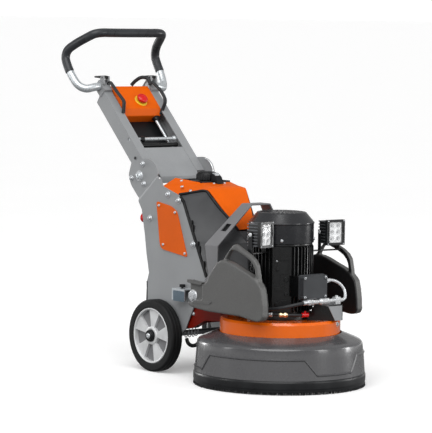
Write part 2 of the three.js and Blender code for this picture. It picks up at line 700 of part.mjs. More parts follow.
for (const [side, sign] of SIDES) {
  const middle = (sign * (WHEEL_INNER + WHEEL_OUTER)) / 2;
  place(`tyre_${side}`, tyre().translate(AXLE.x, middle, AXLE.z), 'rubber');
  place(`wheel_hub_${side}`, wheelHub().translate(AXLE.x, middle, AXLE.z), 'castAlloy');
}
const axleEnds = SIDES.map(([, s]) => crossRod(AXLE.x, AXLE.z, s * 181.2, s * 190, 15));
place('wheel_axle', join(crossRod(AXLE.x, AXLE.z, -182, 182, AXLE.radius, 16), ...axleEnds), 'steel');

// ---------------------------------------------------------------- side weights
function sideWeight(sign) {
  const { x, z } = WEIGHT_PIVOT;
  const bodyShape = outline([
    [-220, 337], [-142, 329], [-119, 340], [-111, 359], [-91, 383], [-69, 406], [-52, 415], [-23, 415],
    [5, 409], [50, 394], [95, 380], [123, 367], [143, 352], [151, 342], [157, 321], [163, 286], [165, 249],
    [157, 237],
    [137, 231], [109, 233], [54, 240], [-117, 241], [-187, 246], [-210, 251], [-221, 266],
  ]);
  const handleOuter = outline([
    [-52, 400], [-46, 417], [-16, 450], [3, 468], [14, 472], [47, 458], [86, 443], [109, 430], [123, 414],
    [132, 379], [137, 340], [100, 340],
  ]);
  const handleInner = outline([
    [-34, 415], [-15, 444], [-4, 451], [21, 449], [58, 438], [91, 423], [105, 410], [113, 396], [118, 369],
    [95, 380], [50, 394], [5, 409],
  ]);
  const recessShape = outline([
    [-240, 264], [-180, 264], [-172, 277], [-144, 277], [-144, 326], [-240, 328],
  ], 5);
  const [near, far] = [sign * WEIGHT_INNER, sign * WEIGHT_OUTER];
  const body = slabXZ(bodyShape, near, far);
  const handle = cut(
    slabXZ(handleOuter, near + sign * 4, far - sign * 7),
    slabXZ(handleInner, near, far),
  );
  const lug = crossRod(x, z, sign * (YOKE_FACE + YOKE_STRIP + 1.2), near + sign * 4, 19, 24);
  const recess = slabXZ(recessShape, sign * WEIGHT_RECESS, far + sign * 5);
  const bore = crossRod(x, z, sign * 100, sign * 230, 10);
  return cut(join(body, handle, lug), recess, bore);
}

for (const [side, sign] of SIDES) {
  place(`side_weight_${side}`, sideWeight(sign), 'castGrey');
  const { x, z } = WEIGHT_PIVOT;
  const headSeat = WEIGHT_RECESS + GAP;
  const shank = crossRod(x, z, sign * 92, sign * (headSeat + 3), 9);
  const head = crossRod(x, z, sign * headSeat, sign * (headSeat + 9.7), 16, 6);
  place(`weight_bolt_${side}`, join(shank, head), 'steel');
}

// ---------------------------------------------------------------- mast
// Mast places are given along the arm (a, up and back from the pivot) and across it (b, to the front).
const mast = (a, b) => [MAST_PIVOT.x + (b - a) / Math.SQRT2, MAST_PIVOT.z + (b + a) / Math.SQRT2];
const mastOutline = (points, radius = 0) => outline(points.map(([a, b]) => mast(a, b)), radius);
const LEVER = { x: -832, z: 987 };

function mastArm(sign) {
  const web = mastOutline([
    [-24, -16], [-24, ARM_FRONT], [ARM_LENGTH, ARM_FRONT], [ARM_LENGTH - 12, ARM_REAR], [70, ARM_REAR],
    [46, -16],
  ]);
  const flange = mastOutline([[-24, ARM_FRONT - SHEET], [-24, ARM_FRONT], [ARM_LENGTH, ARM_FRONT],
    [ARM_LENGTH, ARM_FRONT - SHEET]]);
  const rearFlange = mastOutline([
    [74, ARM_REAR], [74, ARM_REAR + SHEET], [350, ARM_REAR + SHEET], [350, ARM_REAR],
  ]);
  const block = mastOutline([[350, 20], [350, 58], [400, 58], [400, 20]], 5);
  const ears = outline([[-848, 968], [-839, 993], [-825, 993], [-820, 962]], 4);
  const body = join(
    slabXZ(web, sign * ARM_OUTER, sign * (ARM_OUTER - SHEET)),
    slabXZ(flange, sign * ARM_OUTER, sign * FLANGE_INNER),
    slabXZ(rearFlange, sign * ARM_OUTER, sign * 96),
    slabXZ(block, sign * 88, sign * 122),
    slabXZ(ears, sign * 91, sign * 96.7),
    slabXZ(ears, sign * 113.3, sign * 119),
  );
  return cut(
    body,
    crossRod(HANDLE.x, HANDLE.z, sign * 80, sign * 130, HANDLE.radius + 0.8, 16),
    crossRod(MAST_PIVOT.x, MAST_PIVOT.z, sign * 80, sign * 130, 8.5),
    crossRod(LEVER.x, LEVER.z, sign * 80, sign * 130, 3.4),
    crossRod(...mast(134, 38), sign * 80, sign * (ARM_OUTER + 2), 6.3, 12),
  );
}

function clampLever(sign) {
  const shape = outline([[-838, 983], [-826, 983], [-825, 992], [-840, 994], [-884, 991], [-886, 986]], 2);
  return join(
    crossRod(LEVER.x, LEVER.z, sign * 91.5, sign * 118.5, 3),
    slabXZ(shape, sign * 97, sign * 113),
  );
}

for (const [side, sign] of SIDES) {
  place(`mast_arm_${side}`, mastArm(sign), 'greyPaint');
  place(`clamp_lever_${side}`, clampLever(sign), 'blackPlastic');
}

const panelLine = [[-62, 30], [-46, 44], [86, 44]].map(([a, b]) => mast(a, b));
place('mast_panel', slabXZ(bentStrip(panelLine, -SHEET), -84.7, 84.7), 'greyPaint');
place('cross_rod', crossRod(...mast(134, 38), -118, 118, 6, 12), 'steel');
const pivotRod = (yA, yB, radius, sides) => crossRod(MAST_PIVOT.x, MAST_PIVOT.z, yA, yB, radius, sides);
const pivotHeads = SIDES.map(([, s]) => pivotRod(s * (HINGE_OUTER + GAP), s * 131, 15, 24));
place('mast_pivot', join(pivotRod(-126, 126, 8), ...pivotHeads), 'steel');

const BOX_HALF = 82;
const BOX_FACE = 51.5;
const STOP = { a: 302, y: 14 };
function controlBox() {
  const shell = mastOutline([[374, BOX_FACE], [268, BOX_FACE], [247, 33], [250, -6], [374, -6]], 3);
  const inside = mastOutline([[370, BOX_FACE - 3], [270, BOX_FACE - 3], [251, 31], [254, -3], [370, -3]]);
  const [from, to] = [mast(STOP.a, 30), mast(STOP.a, 70)];
  return cut(
    slabXZ(shell, -BOX_HALF, BOX_HALF),
    slabXZ(inside, -BOX_HALF + 3, BOX_HALF - 3),
    rod([from[0], STOP.y, from[1]], [to[0], STOP.y, to[1]], 10.2),
  );
}
place('control_box', controlBox(), 'orange');

function alongFront(a, y, bA, bB, radius, sides) {
  const [from, to] = [mast(a, bA), mast(a, bB)];
  return rod([from[0], y, from[1]], [to[0], y, to[1]], radius, sides);
}
const stopButton = join(
  alongFront(STOP.a, STOP.y, BOX_FACE - 16, BOX_FACE + 12, 9, 16),
  alongFront(STOP.a, STOP.y, BOX_FACE + 9, BOX_FACE + 22, 20, 28),
  alongFront(STOP.a, STOP.y, BOX_FACE - 16, BOX_FACE - 12, 12, 16),
);
place('emergency_stop', stopButton, 'red');

// ---------------------------------------------------------------- handlebar
const HANDLE_SIDE = [
  [HANDLE.x, 90, HANDLE.z], [HANDLE.x, 110, HANDLE.z], [HANDLE.x, 131, HANDLE.z],
  [HANDLE.x - 3, 147, HANDLE.z - 3], [-857, 169, 948], [-876, 188, 959], [-902, 198, 992],
  [-926, 200, 1027], [-939, 199, 1056], [-932, 195, 1080], [-905, 182, 1102], [-866, 165, 1124],
  [-838, 148, 1139], [-828, 124, 1143], [-827, 84, 1143], [-827, 30, 1143],
];
const handleRoute = smooth([
  ...HANDLE_SIDE.map(([x, y, z]) => [x, -y, z]),
  ...HANDLE_SIDE.toReversed(),
]);
// The grip covers the route from one station to another of the handle's own steps.
const HANDLE_STEPS = 38;
const GRIP_FROM = 6;
const GRIP_STEPS = HANDLE_STEPS - 2 * GRIP_FROM;
class GripRoute extends THREE.Curve {
  getPoint(t, target = new THREE.Vector3()) {
    return handleRoute.getPointAt((GRIP_FROM + t * GRIP_STEPS) / HANDLE_STEPS, target);
  }
}
place('handlebar', tube(handleRoute, HANDLE.radius, { sides: 8, steps: HANDLE_STEPS }), 'steel');
const gripSizes = { sides: 8, steps: GRIP_STEPS, bore: HANDLE.radius + 1.6 };
place('handle_grip', tube(new GripRoute(), GRIP_RADIUS, gripSizes), 'blackPlastic');

// ---------------------------------------------------------------- control cables, clipped at both ends
for (const [side, sign] of SIDES) {
  const at = (a, b, y) => {
    const [x, z] = mast(a, b);
    return [x, sign * y, z];
  };
  const route = smooth([
    at(344, ARM_FRONT + 1, 96), at(344, 60, 96), at(330, 82, 95), at(304, 88, 94), at(280, 80, 93),
    at(264, 60, 92), at(264, ARM_FRONT + 1, 92),
  ]);
  place(`control_cable_${side}`, tube(route, 4, { steps: 16 }), 'hose');
}

// ---------------------------------------------------------------- centred over the footprint
const extent = new THREE.Box3().setFromObject(assembly);
assembly.position.x = -(extent.min.x + extent.max.x) / 2;

export default machine;
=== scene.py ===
"""Looks for a walk-behind concrete floor grinder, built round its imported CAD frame."""
import math
import random

import bmesh
import bpy
from mathutils import Matrix, Vector
from mathutils.geometry import tessellate_polygon


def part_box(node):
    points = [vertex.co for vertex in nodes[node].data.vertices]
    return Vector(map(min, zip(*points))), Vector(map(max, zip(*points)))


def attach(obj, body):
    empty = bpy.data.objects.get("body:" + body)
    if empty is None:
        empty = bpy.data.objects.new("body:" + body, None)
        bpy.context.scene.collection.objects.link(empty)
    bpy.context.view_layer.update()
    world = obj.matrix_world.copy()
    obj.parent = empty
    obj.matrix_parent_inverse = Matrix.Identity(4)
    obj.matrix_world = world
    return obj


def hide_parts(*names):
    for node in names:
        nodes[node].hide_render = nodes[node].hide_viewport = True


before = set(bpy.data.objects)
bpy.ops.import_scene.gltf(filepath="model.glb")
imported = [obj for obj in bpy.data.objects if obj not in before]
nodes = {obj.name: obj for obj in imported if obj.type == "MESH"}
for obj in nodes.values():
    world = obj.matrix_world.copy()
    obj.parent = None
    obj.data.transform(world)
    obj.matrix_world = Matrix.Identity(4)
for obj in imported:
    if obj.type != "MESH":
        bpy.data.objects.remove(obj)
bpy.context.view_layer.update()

random.seed(11)
SIDES = (("right", -1), ("left", 1))

# ---------------------------------------------------------------- places
# Shapes are drawn in millimetres, with x measured forward from the grinding head's axis, y to the left and
# z up from the floor. at() turns them into the row frame's metres.
MM = 0.001


def middle(node):
    """The middle of a CAD node's box, in the row frame."""
    low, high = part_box(node)
    return (low + high) / 2


HEAD_X = middle("brush_skirt").x


def at(x, y, z):
    return Vector((HEAD_X + x * MM, y * MM, z * MM))


def size_of(node):
    """A CAD node's box in millimetres from the head's axis: (low, high)."""
    low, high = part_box(node)
    shift = Vector((HEAD_X, 0, 0))
    return (low - shift) / MM, (high - shift) / MM


def centre_of(node):
    """The middle of a CAD node's box in millimetres from the head's axis."""
    return (middle(node) - Vector((HEAD_X, 0, 0))) / MM


SKIRT_HIGH = size_of("brush_skirt")[1]
SKIRT_RADIUS = SKIRT_HIGH.y
SKIRT_TOP = SKIRT_HIGH.z
SHROUD_TOP = size_of("shroud")[1].z
DRUM_RADIUS = size_of("head_housing")[1].y
DRUM_TOP = size_of("head_housing")[1].z
STATOR_TOP = size_of("motor_stator")[1].z
COWL_LOW, COWL_HIGH = size_of("fan_cowl")
COWL_RADIUS = COWL_HIGH.y
PIVOT = centre_of("mast_pivot")
CAP_X = (middle("tank_cap").x - HEAD_X) / MM
AXLE = centre_of("wheel_axle")
PLATE_OUTER = 134
TRIM_INNER = 129.7
HOOD_HALF = 129.5  # half the hood's width
HINGE_OUTER = 125
WEIGHT_INNER = 189
LAMP_PLACES = {"right": (48, -145, 504, 14), "left": (71, 146, 502, -6)}  # x, y, z and turn in degrees


def mast(a, b, y):
    """A place on the mast: a up along it and b in front of it, from its pivot."""
    return Vector((PIVOT.x + (b - a) / math.sqrt(2), y, PIVOT.z + (b + a) / math.sqrt(2)))


# ---------------------------------------------------------------- shapes: (points, faces) in millimetres
def combine(*shapes):
    points, faces = [], []
    for shape_points, shape_faces in shapes:
        start = len(points)
        points += [Vector(p) for p in shape_points]
        faces += [[i + start for i in face] for face in shape_faces]
    return points, faces


def moved(shape, matrix):
    return [matrix @ Vector(p) for p in shape[0]], shape[1]


def facing(place, direction, roll=0.0):
    """Turns local +Z to a direction and moves the origin to a place."""
    turn = Vector(direction).to_track_quat("Z", "Y").to_matrix().to_4x4()
    return Matrix.Translation(Vector(place)) @ turn @ Matrix.Rotation(roll, 4, "Z")


def rings(loops, closed=False, cap=True):
    """A skin through loops of the same number of points."""
    count = len(loops[0])
    points = [p for loop in loops for p in loop]
    faces = []
    for k in range(len(loops) if closed else len(loops) - 1):
        a, b = k * count, ((k + 1) % len(loops)) * count
        for i in range(count):
            j = (i + 1) % count
            faces.append([a + i, a + j, b + j, b + i])
    if cap and not closed:
        faces.append(list(range(count)))
        faces.append([len(points) - 1 - i for i in range(count)])
    return points, faces


def loop_at(radius, z, sides, shape=None):
    """A loop round +Z; shape(angle) scales or replaces the radius."""
    points = []
    for i in range(sides):
        angle = 2 * math.pi * i / sides
        r = shape(radius, angle) if shape else radius
        points.append(Vector((r * math.cos(angle), r * math.sin(angle), z)))
    return points


def lathe(profile, sides=96):
    """A profile of (radius, height) turned round +Z. It closes on itself unless both ends are on the axis."""
    on_axis = profile[0][0] == 0 and profile[-1][0] == 0
    return rings([loop_at(r, z, sides) for r, z in profile], closed=not on_axis, cap=False)


def turned(profile, sides, place, direction):
    """A lathe shape standing on a place and pointing in a direction."""
    return moved(lathe(profile, sides), facing(place, direction))


def bend(start, corner, end, steps):
    """Points on a curve from start to end that leans towards the corner."""
    shares = [k / steps for k in range(steps + 1)]
    return [start * (1 - t) ** 2 + corner * 2 * t * (1 - t) + end * t * t for t in shares]


def fillet(points, radius, steps=4):
    """A closed outline with its corners rounded. A point may carry its own radius as a third number."""
    out = []
    count = len(points)
    for i, point in enumerate(points):
        corner = Vector(point[:2])
        before, after = Vector(points[i - 1][:2]), Vector(points[(i + 1) % count][:2])
        reach = point[2] if len(point) > 2 else radius
        reach = min(reach, (before - corner).length / 2.05, (after - corner).length / 2.05)
        if reach < 0.05:
            out.append(corner)
            continue
        start = corner + (before - corner).normalized() * reach
        end = corner + (after - corner).normalized() * reach
        out += bend(start, corner, end, steps)
    return out


def panel(u0, v0, u1, v1, radius):
    """The outline of a rectangle with rounded corners."""
    return fillet([(u0, v0), (u1, v0), (u1, v1), (u0, v1)], radius)


PLANES = {
    "xz": lambda u, v, w: Vector((u, w, v)),
    "yz": lambda u, v, w: Vector((w, u, v)),
    "xy": lambda u, v, w: Vector((u, v, w)),
}


def slab(outline, low, high, plane="xz", holes=()):
    """An outline, with holes, made thick between two places across its plane."""
    to3d = PLANES[plane]
    loops = [[Vector((p[0], p[1], 0)) for p in loop] for loop in (outline, *holes)]
    flat = [p for loop in loops for p in loop]
    triangles = tessellate_polygon(loops)
    count = len(flat)
    points = [to3d(p.x, p.y, low) for p in flat] + [to3d(p.x, p.y, high) for p in flat]
    faces = [list(t) for t in triangles] + [[i + count for i in reversed(t)] for t in triangles]
    start = 0
    for loop in loops:
        for i in range(len(loop)):
            a, b = start + i, start + (i + 1) % len(loop)
            faces.append([a, b, b + count, a + count])
        start += len(loop)
    return points, faces


def puck(radius, height, sides, place, direction):
    return turned([(0, 0), (radius, 0), (radius, height), (0, height)], sides, place, direction)


def block(x0, x1, y0, y1, z0, z1):
    return slab([(x0, z0), (x1, z0), (x1, z1), (x0, z1)], y0, y1)


def round_loop(centre, radius, sides=24):
    turns = [2 * math.pi * i / sides for i in range(sides)]
    return [(centre[0] + radius * math.cos(a), centre[1] + radius * math.sin(a)) for a in turns]


def spline(points, count):
    """Points evenly along a centripetal Catmull-Rom curve through the given ones."""
    knots = [Vector(p) for p in points]
    knots = [2 * knots[0] - knots[1], *knots, 2 * knots[-1] - knots[-2]]
    fine = []
    for k in range(1, len(knots) - 2):
        p0, p1, p2, p3 = knots[k - 1:k + 3]
        d0, d1, d2 = [max((b - a).length, 1e-4) ** 0.5 for a, b in ((p0, p1), (p1, p2), (p2, p3))]
        m1 = ((p1 - p0) / d0 - (p2 - p0) / (d0 + d1) + (p2 - p1) / d1) * d1
        m2 = ((p2 - p1) / d1 - (p3 - p1) / (d1 + d2) + (p3 - p2) / d2) * d1
        for i in range(12):
            t = i / 12
            fine.append(
                p1 * (2 * t ** 3 - 3 * t ** 2 + 1) + m1 * (t ** 3 - 2 * t ** 2 + t)
                + p2 * (3 * t ** 2 - 2 * t ** 3) + m2 * (t ** 3 - t ** 2)
            )
    fine.append(knots[-2])
    length = [0.0]
    for a, b in zip(fine, fine[1:]):
        length.append(length[-1] + (b - a).length)
    out, k = [], 0
    for i in range(count + 1):
        target = length[-1] * i / count
        while k < len(fine) - 2 and length[k + 1] < target:
            k += 1
        share = (target - length[k]) / max(length[k + 1] - length[k], 1e-9)
        out.append(fine[k].lerp(fine[k + 1], min(share, 1)))
    return out


def swept(path, radius, sides=16, shape=None, from_end=0.0):
    """A round bar along evenly spaced points, narrower by from_end at its tips. shape() scales its radius."""
    count = len(path)
    tangent = (path[1] - path[0]).normalized()
    side = tangent.orthogonal().normalized()
    loops = []
    for k, point in enumerate(path):
        ahead = (path[min(k + 1, count - 1)] - path[max(k - 1, 0)]).normalized()
        side = (side - ahead * side.dot(ahead)).normalized()
        up = ahead.cross(side)
        share = k / (count - 1)
        reach = radius - (from_end if share in (0, 1) else 0)
        loop = []
        for i in range(sides):
            angle = 2 * math.pi * i / sides
            r = reach * (shape(share, angle) if shape else 1)
            loop.append(point + (side * math.cos(angle) + up * math.sin(angle)) * r)
        loops.append(loop)
    return rings(loops)


def bar(start, end, radius, sides=32, bevel=0.8):
    """A straight round bar with eased ends."""
    start, end = Vector(start), Vector(end)
    length = (end - start).length
    ease = min(bevel, radius / 2, length / 3)
    inner = radius - ease
    profile = [(0, 0), (inner, 0), (radius, ease), (radius, length - ease), (inner, length), (0, length)]
    return turned(profile, sides, start, end - start)


# ---------------------------------------------------------------- objects
def link(name, data):
    obj = bpy.data.objects.new(name, data)
    bpy.context.scene.collection.objects.link(obj)
    return obj


def modify(obj, name, kind, **settings):
    modifier = obj.modifiers.new(name, kind)
    for key, value in settings.items():
        setattr(modifier, key, value)
    return modifier


def plain(obj, material):
    """Clears imported normals from an object, shades it smooth, welds it and gives it its material."""
    custom = obj.data.attributes.get("custom_normal")
    if custom:
        obj.data.attributes.remove(custom)
    obj.data.shade_smooth()
    obj.data.materials.clear()
    obj.data.materials.append(material)
    modify(obj, "Weld", "WELD", merge_threshold=1e-5)


def object_from(name, shape, smooth_angle=32):
    """A mesh object, in the row frame, with clean outward faces and edges sharp past an angle."""
    mesh = bpy.data.meshes.new(name)
    mesh.from_pydata([at(*p) for p in shape[0]], [], shape[1])
    work = bmesh.new()
    work.from_mesh(mesh)
    bmesh.ops.remove_doubles(work, verts=work.verts, dist=2e-6)
    bmesh.ops.dissolve_degenerate(work, edges=work.edges, dist=1e-6)
    bmesh.ops.recalc_face_normals(work, faces=work.faces)
    work.to_mesh(mesh)
    work.free()
    mesh.shade_smooth()
    mesh.set_sharp_from_angle(angle=math.radians(smooth_angle))
    return link(name, mesh)


def add_bevel(obj, width, segments=2, harden=True):
    modify(obj, "Bevel", "BEVEL", width=width * MM, segments=segments, limit_method="ANGLE",
           angle_limit=math.radians(30), miter_outer="MITER_ARC", harden_normals=harden)


def piece(name, shape, material, body="frame", slot=None, bevel=0.0, stands_for=None, smooth_angle=32):
    """A finished piece: its mesh, its material, its rounded edges and the body that it rides on."""
    obj = object_from(name, shape, smooth_angle)
    obj.data.materials.append(material)
    if bevel:
        add_bevel(obj, bevel)
    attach(obj, body)
    slot = slot or SLOT_OF.get(material.name)
    if stands_for:
        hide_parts(stands_for)
    return obj


def baked(obj):
    """Applies an object's modifiers to its mesh."""
    graph = bpy.context.evaluated_depsgraph_get()
    mesh = bpy.data.meshes.new_from_object(obj.evaluated_get(graph))
    obj.modifiers.clear()
    obj.data = mesh
    return obj


def carve(obj, shape):
    """Cuts a closed shape out of an object."""
    tool = object_from(obj.name + "_cutter", shape)
    modify(obj, "Cut", "BOOLEAN", operation="DIFFERENCE", solver="EXACT", object=tool)
    baked(obj)
    bpy.data.objects.remove(tool)


def dress(node, material, bevel=1.0):
    """Gives a CAD node its material, soft edges and clean shading. Its own mesh stays as it is."""
    obj = nodes[node]
    plain(obj, material)
    if bevel:
        add_bevel(obj, bevel, harden=False)
    modify(obj, "Normals", "WEIGHTED_NORMAL", weight=80)


# ---------------------------------------------------------------- materials
def linear(*rgb):
    """A colour given as 0-255 sRGB values, as the shader's linear numbers."""
    out = []
    for value in rgb:
        share = value / 255
        out.append(share / 12.92 if share <= 0.04045 else ((share + 0.055) / 1.055) ** 2.4)
    return (*out, 1.0)


class Nodes:
    """A small helper that adds and links shader nodes in one material."""

    def __init__(self, name):
        self.material = bpy.data.materials.new(name)
        self.material.use_nodes = True
        self.tree = self.material.node_tree
        self.shader = self.tree.nodes["Principled BSDF"]
        self.place = self.add("ShaderNodeTexCoord").outputs["Object"]

    def add(self, kind, inputs=None, **settings):
        node = self.tree.nodes.new(kind)
        for key, value in settings.items():
            setattr(node, key, value)
        for key, value in (inputs or {}).items():
            self.put(node.inputs[key], value)
        return node

    def put(self, socket, value):
        if isinstance(value, bpy.types.NodeSocket):
            self.tree.links.new(value, socket)
        else:
            socket.default_value = value

    def stretch(self, x, y, z):
        return self.add("ShaderNodeMapping", {"Vector": self.place, "Scale": (x, y, z)}).outputs["Vector"]

    def across(self):
        """How far a point lies from the machine's middle plane."""
        y = self.add("ShaderNodeSeparateXYZ", {"Vector": self.place}).outputs["Y"]
        return self.add("ShaderNodeMath", {0: y}, operation="ABSOLUTE").outputs[0]

    def noise(self, scale, detail=3.0, vector=None):
        inputs = {"Vector": vector or self.place, "Scale": scale, "Detail": detail}
        return self.add("ShaderNodeTexNoise", inputs).outputs["Fac"]

    def span(self, value, low, high, start=0.3, end=0.7):
        inputs = {"Value": value, "From Min": start, "From Max": end, "To Min": low, "To Max": high}
        return self.add("ShaderNodeMapRange", inputs).outputs["Result"]

    def mix(self, share, a, b):
        return self.add("ShaderNodeMix", {0: share, 6: a, 7: b}, data_type="RGBA").outputs[2]

    def tint(self, value, color, dark, light):
        """A colour that wanders between a darker and a lighter shade of itself."""
        return self.mix(self.span(value, 0, 1), shade(color, dark), shade(color, light))

    def bump(self, height, strength, distance=0.0004, below=None):
        inputs = {"Height": height, "Strength": strength, "Distance": distance}
        if below is not None:
            inputs["Normal"] = below
        return self.add("ShaderNodeBump", inputs).outputs["Normal"]

    def finish(self, color, roughness, normal=None, metallic=0.0, coat=0.0, specular=0.5):
        values = {"Base Color": color, "Roughness": roughness, "Metallic": metallic, "Coat Weight": coat,
                  "Coat Roughness": 0.12, "Specular IOR Level": specular}
        if normal is not None:
            values["Normal"] = normal
        self.set(values)
        return self.material

    def set(self, values):
        for key, value in values.items():
            self.put(self.shader.inputs[key], value)


WHITE = (1, 1, 1, 1)


def shade(color, factor):
    return (*[min(c * factor, 1.0) for c in color[:3]], 1.0)


def powder_coat(name, rgb, roughness, coat=0.0, grain=0.12, mottle=0.07, specular=0.5):
    """Sprayed paint: a faint orange-peel surface, with cloudy colour and gloss."""
    n = Nodes(name)
    color = linear(*rgb)
    cloud = n.noise(9, 4)
    fine = n.noise(160, 2)
    base = n.tint(cloud, color, 1 - mottle, 1 + mottle)
    base = n.mix(n.span(fine, 0, 0.35), base, shade(color, 1 - 1.6 * mottle))
    gloss = n.span(n.noise(28, 3), roughness - 0.05, roughness + 0.06)
    peel = n.bump(n.noise(1100, 2), grain, 0.00025)
    return n.finish(base, gloss, peel, coat=coat, specular=specular)


def cast_paint_with_painted_shade(name, rgb, back, inner_face):
    """Painted casting: a speckled, coarse skin, with painted shade: the face towards the motor is near-black.
    """
    n = Nodes(name)
    color = linear(*rgb)
    speckle = n.noise(520, 3)
    cloud = n.noise(14, 4)
    base = n.tint(speckle, color, 0.66, 1.38)
    base = n.mix(n.span(cloud, 0, 0.4), base, shade(color, 0.85))
    # Painted shade: faces towards the motor take the near-black back colour.
    outer = n.span(n.across(), 0, 1, (inner_face + 5) * MM, (inner_face + 6.5) * MM)
    coarse = n.bump(n.noise(260, 5), 0.4, 0.0006)
    normal = n.bump(n.noise(1400, 2), 0.25, 0.0003, coarse)
    return n.finish(n.mix(outer, linear(*back), base), n.span(speckle, 0.34, 0.56), normal, 0.25)


def moulded(name, rgb, roughness, grain=0.25, specular=0.5):
    """Moulded plastic with a fine leather-like grain."""
    n = Nodes(name)
    color = linear(*rgb)
    pebbles = n.add("ShaderNodeTexVoronoi", {"Vector": n.place, "Scale": 900.0}).outputs["Distance"]
    cloud = n.noise(16, 3)
    base = n.tint(cloud, color, 0.9, 1.12)
    gloss = n.span(cloud, roughness - 0.06, roughness + 0.06)
    return n.finish(base, gloss, n.bump(pebbles, grain, 0.0002), specular=specular)


def metal(name, rgb, roughness, streak=(1, 1, 1), grain=0.08, metallic=1.0):
    """Bare or plated metal, with fine streaks along the axis that the streak leaves short."""
    n = Nodes(name)
    color = linear(*rgb)
    lines = n.noise(240, 3, n.stretch(*streak))
    cloud = n.noise(30, 3)
    base = n.tint(cloud, color, 0.88, 1.06)
    gloss = n.span(lines, roughness - 0.07, roughness + 0.1)
    return n.finish(base, gloss, n.bump(lines, grain, 0.0002), metallic)


def rubber(name, rgb, roughness=0.7, scale=420, strength=0.3):
    n = Nodes(name)
    color = linear(*rgb)
    cloud = n.noise(22, 4)
    base = n.tint(cloud, color, 0.82, 1.22)
    gloss = n.span(cloud, roughness - 0.08, roughness + 0.08)
    return n.finish(base, gloss, n.bump(n.noise(scale, 3), strength, 0.0004), specular=0.35)


def bristle_material():
    """Nylon bristles: each a slightly different dark grey."""
    n = Nodes("bristle")
    strand = n.noise(420, 1, n.stretch(1, 1, 0.05))
    base = n.mix(n.span(strand, 0, 1), linear(12, 12, 13), linear(46, 47, 49))
    return n.finish(base, n.span(strand, 0.45, 0.75), specular=0.4)


def sheet_with_bracket(name, rgb, plate_outer):
    """Painted sheet whose parts outside the plate's face, the bolted latch bracket, are zinc plated."""
    n = Nodes(name)
    color = linear(*rgb)
    outside = n.add("ShaderNodeMath", {0: n.across(), 1: (plate_outer + 1) * MM},
                    operation="GREATER_THAN").outputs[0]
    paint = n.tint(n.noise(9, 4), color, 0.95, 1.05)
    zinc = n.mix(n.span(n.noise(70, 4), 0, 1), linear(196, 203, 208), linear(216, 221, 225))
    gloss = n.mix(outside, (0.46, 0.46, 0.46, 1), (0.28, 0.28, 0.28, 1))
    peel = n.bump(n.noise(1100, 2), 0.12, 0.00025)
    return n.finish(n.mix(outside, paint, zinc), gloss, peel, n.span(outside, 0.0, 0.5, 0.0, 1.0))


def braid_material():
    """Woven steel braid: two crossed sets of strands."""
    n = Nodes("steel_braid")
    weave = []
    for tilt in (0.7, -0.7):
        turn = n.add("ShaderNodeMapping",
                     {"Vector": n.place, "Rotation": (tilt, 0.3, tilt)}).outputs["Vector"]
        weave.append(n.add("ShaderNodeTexWave",
                           {"Vector": turn, "Scale": 260.0, "Distortion": 0.6}).outputs["Fac"])
    height = n.add("ShaderNodeMath", {0: weave[0], 1: weave[1]}, operation="MAXIMUM").outputs[0]
    base = n.mix(n.span(height, 0, 1), linear(168, 171, 174), linear(224, 227, 230))
    return n.finish(base, n.span(height, 0.4, 0.28), n.bump(height, 0.25, 0.0003), 0.4)


def lamp_glass():
    n = Nodes("lamp_glass")
    ripple = n.noise(60, 2)
    n.set({"Alpha": 0.16})
    return n.finish(n.mix(ripple, (0.93, 0.95, 0.97, 1), WHITE), n.span(ripple, 0.02, 0.06))


def lamp_white_with_painted_glow():
    n = Nodes("lamp_reflector")
    ripple = n.noise(300, 2)
    # Painted light: a faint glow that brightens the unlit reflector.
    n.set({"Emission Color": WHITE, "Emission Strength": 0.16})
    return n.finish(n.mix(ripple, (0.8, 0.81, 0.82, 1), (0.98, 0.98, 0.98, 1)), n.span(ripple, 0.18, 0.3))


ORANGE = powder_coat("orange_coat", (226, 95, 0), 0.4, specular=0.16)
GLOSS_ORANGE = powder_coat("orange_gloss", (236, 104, 0), 0.22, coat=0.6, grain=0.04, mottle=0.03)
# A darker copy of the orange paint for the head bracket: painted shade, as it sits in shadow.
SHADED_ORANGE = powder_coat("orange_painted_shade", (118, 16, 0), 0.34, specular=0.2)
GREY = powder_coat("grey_coat", (146, 148, 150), 0.44)
GREY_BRACKET = sheet_with_bracket("grey_sheet", (146, 148, 150), PLATE_OUTER)
YOKE_GREY = powder_coat("yoke_coat", (122, 122, 124), 0.4)
SHROUD_GREY = powder_coat("graphite_coat", (76, 76, 78), 0.26, coat=0.6, grain=0.03, mottle=0.02)
# (24, 24, 25) is painted shade for the weights' faces towards the motor.
CAST = cast_paint_with_painted_shade("weight_cast", (100, 100, 99), (24, 24, 25), WEIGHT_INNER)
COVER = moulded("cover_plastic", (66, 67, 69), 0.34, grain=0.1)
MOTOR_BLACK = powder_coat("motor_black", (12, 13, 14), 0.3, grain=0.3, mottle=0.15)
COWL_BLACK = powder_coat("cowl_black", (36, 37, 40), 0.26, coat=0.3, grain=0.05, mottle=0.04)
LID_BLACK = powder_coat("lid_black", (58, 60, 63), 0.34, grain=0.08, mottle=0.04)
LAMP_BLACK = powder_coat("lamp_black", (26, 27, 29), 0.3, grain=0.2)
LAMP_FIN = metal("lamp_fin", (112, 114, 118), 0.3, metallic=0.6)
BLACK_PLASTIC = moulded("black_plastic", (20, 21, 23), 0.42, specular=0.3)
SOFT_BLACK = rubber("soft_black", (14, 15, 16), 0.5)
SKIRT_BLACK = rubber("skirt_band", (26, 27, 29), 0.34, 200, 0.08)
BRISTLE = bristle_material()
TYRE = rubber("tyre_rubber", (12, 13, 14), 0.6, 500, 0.3)
ALLOY = metal("cast_alloy", (222, 223, 224), 0.42, grain=0.05, metallic=0.25)
STEEL = metal("zinc_steel", (214, 217, 220), 0.27, grain=0.03, metallic=0.6)
PLATED = metal("plated_fitting", (230, 232, 234), 0.24, grain=0.02, metallic=0.5)
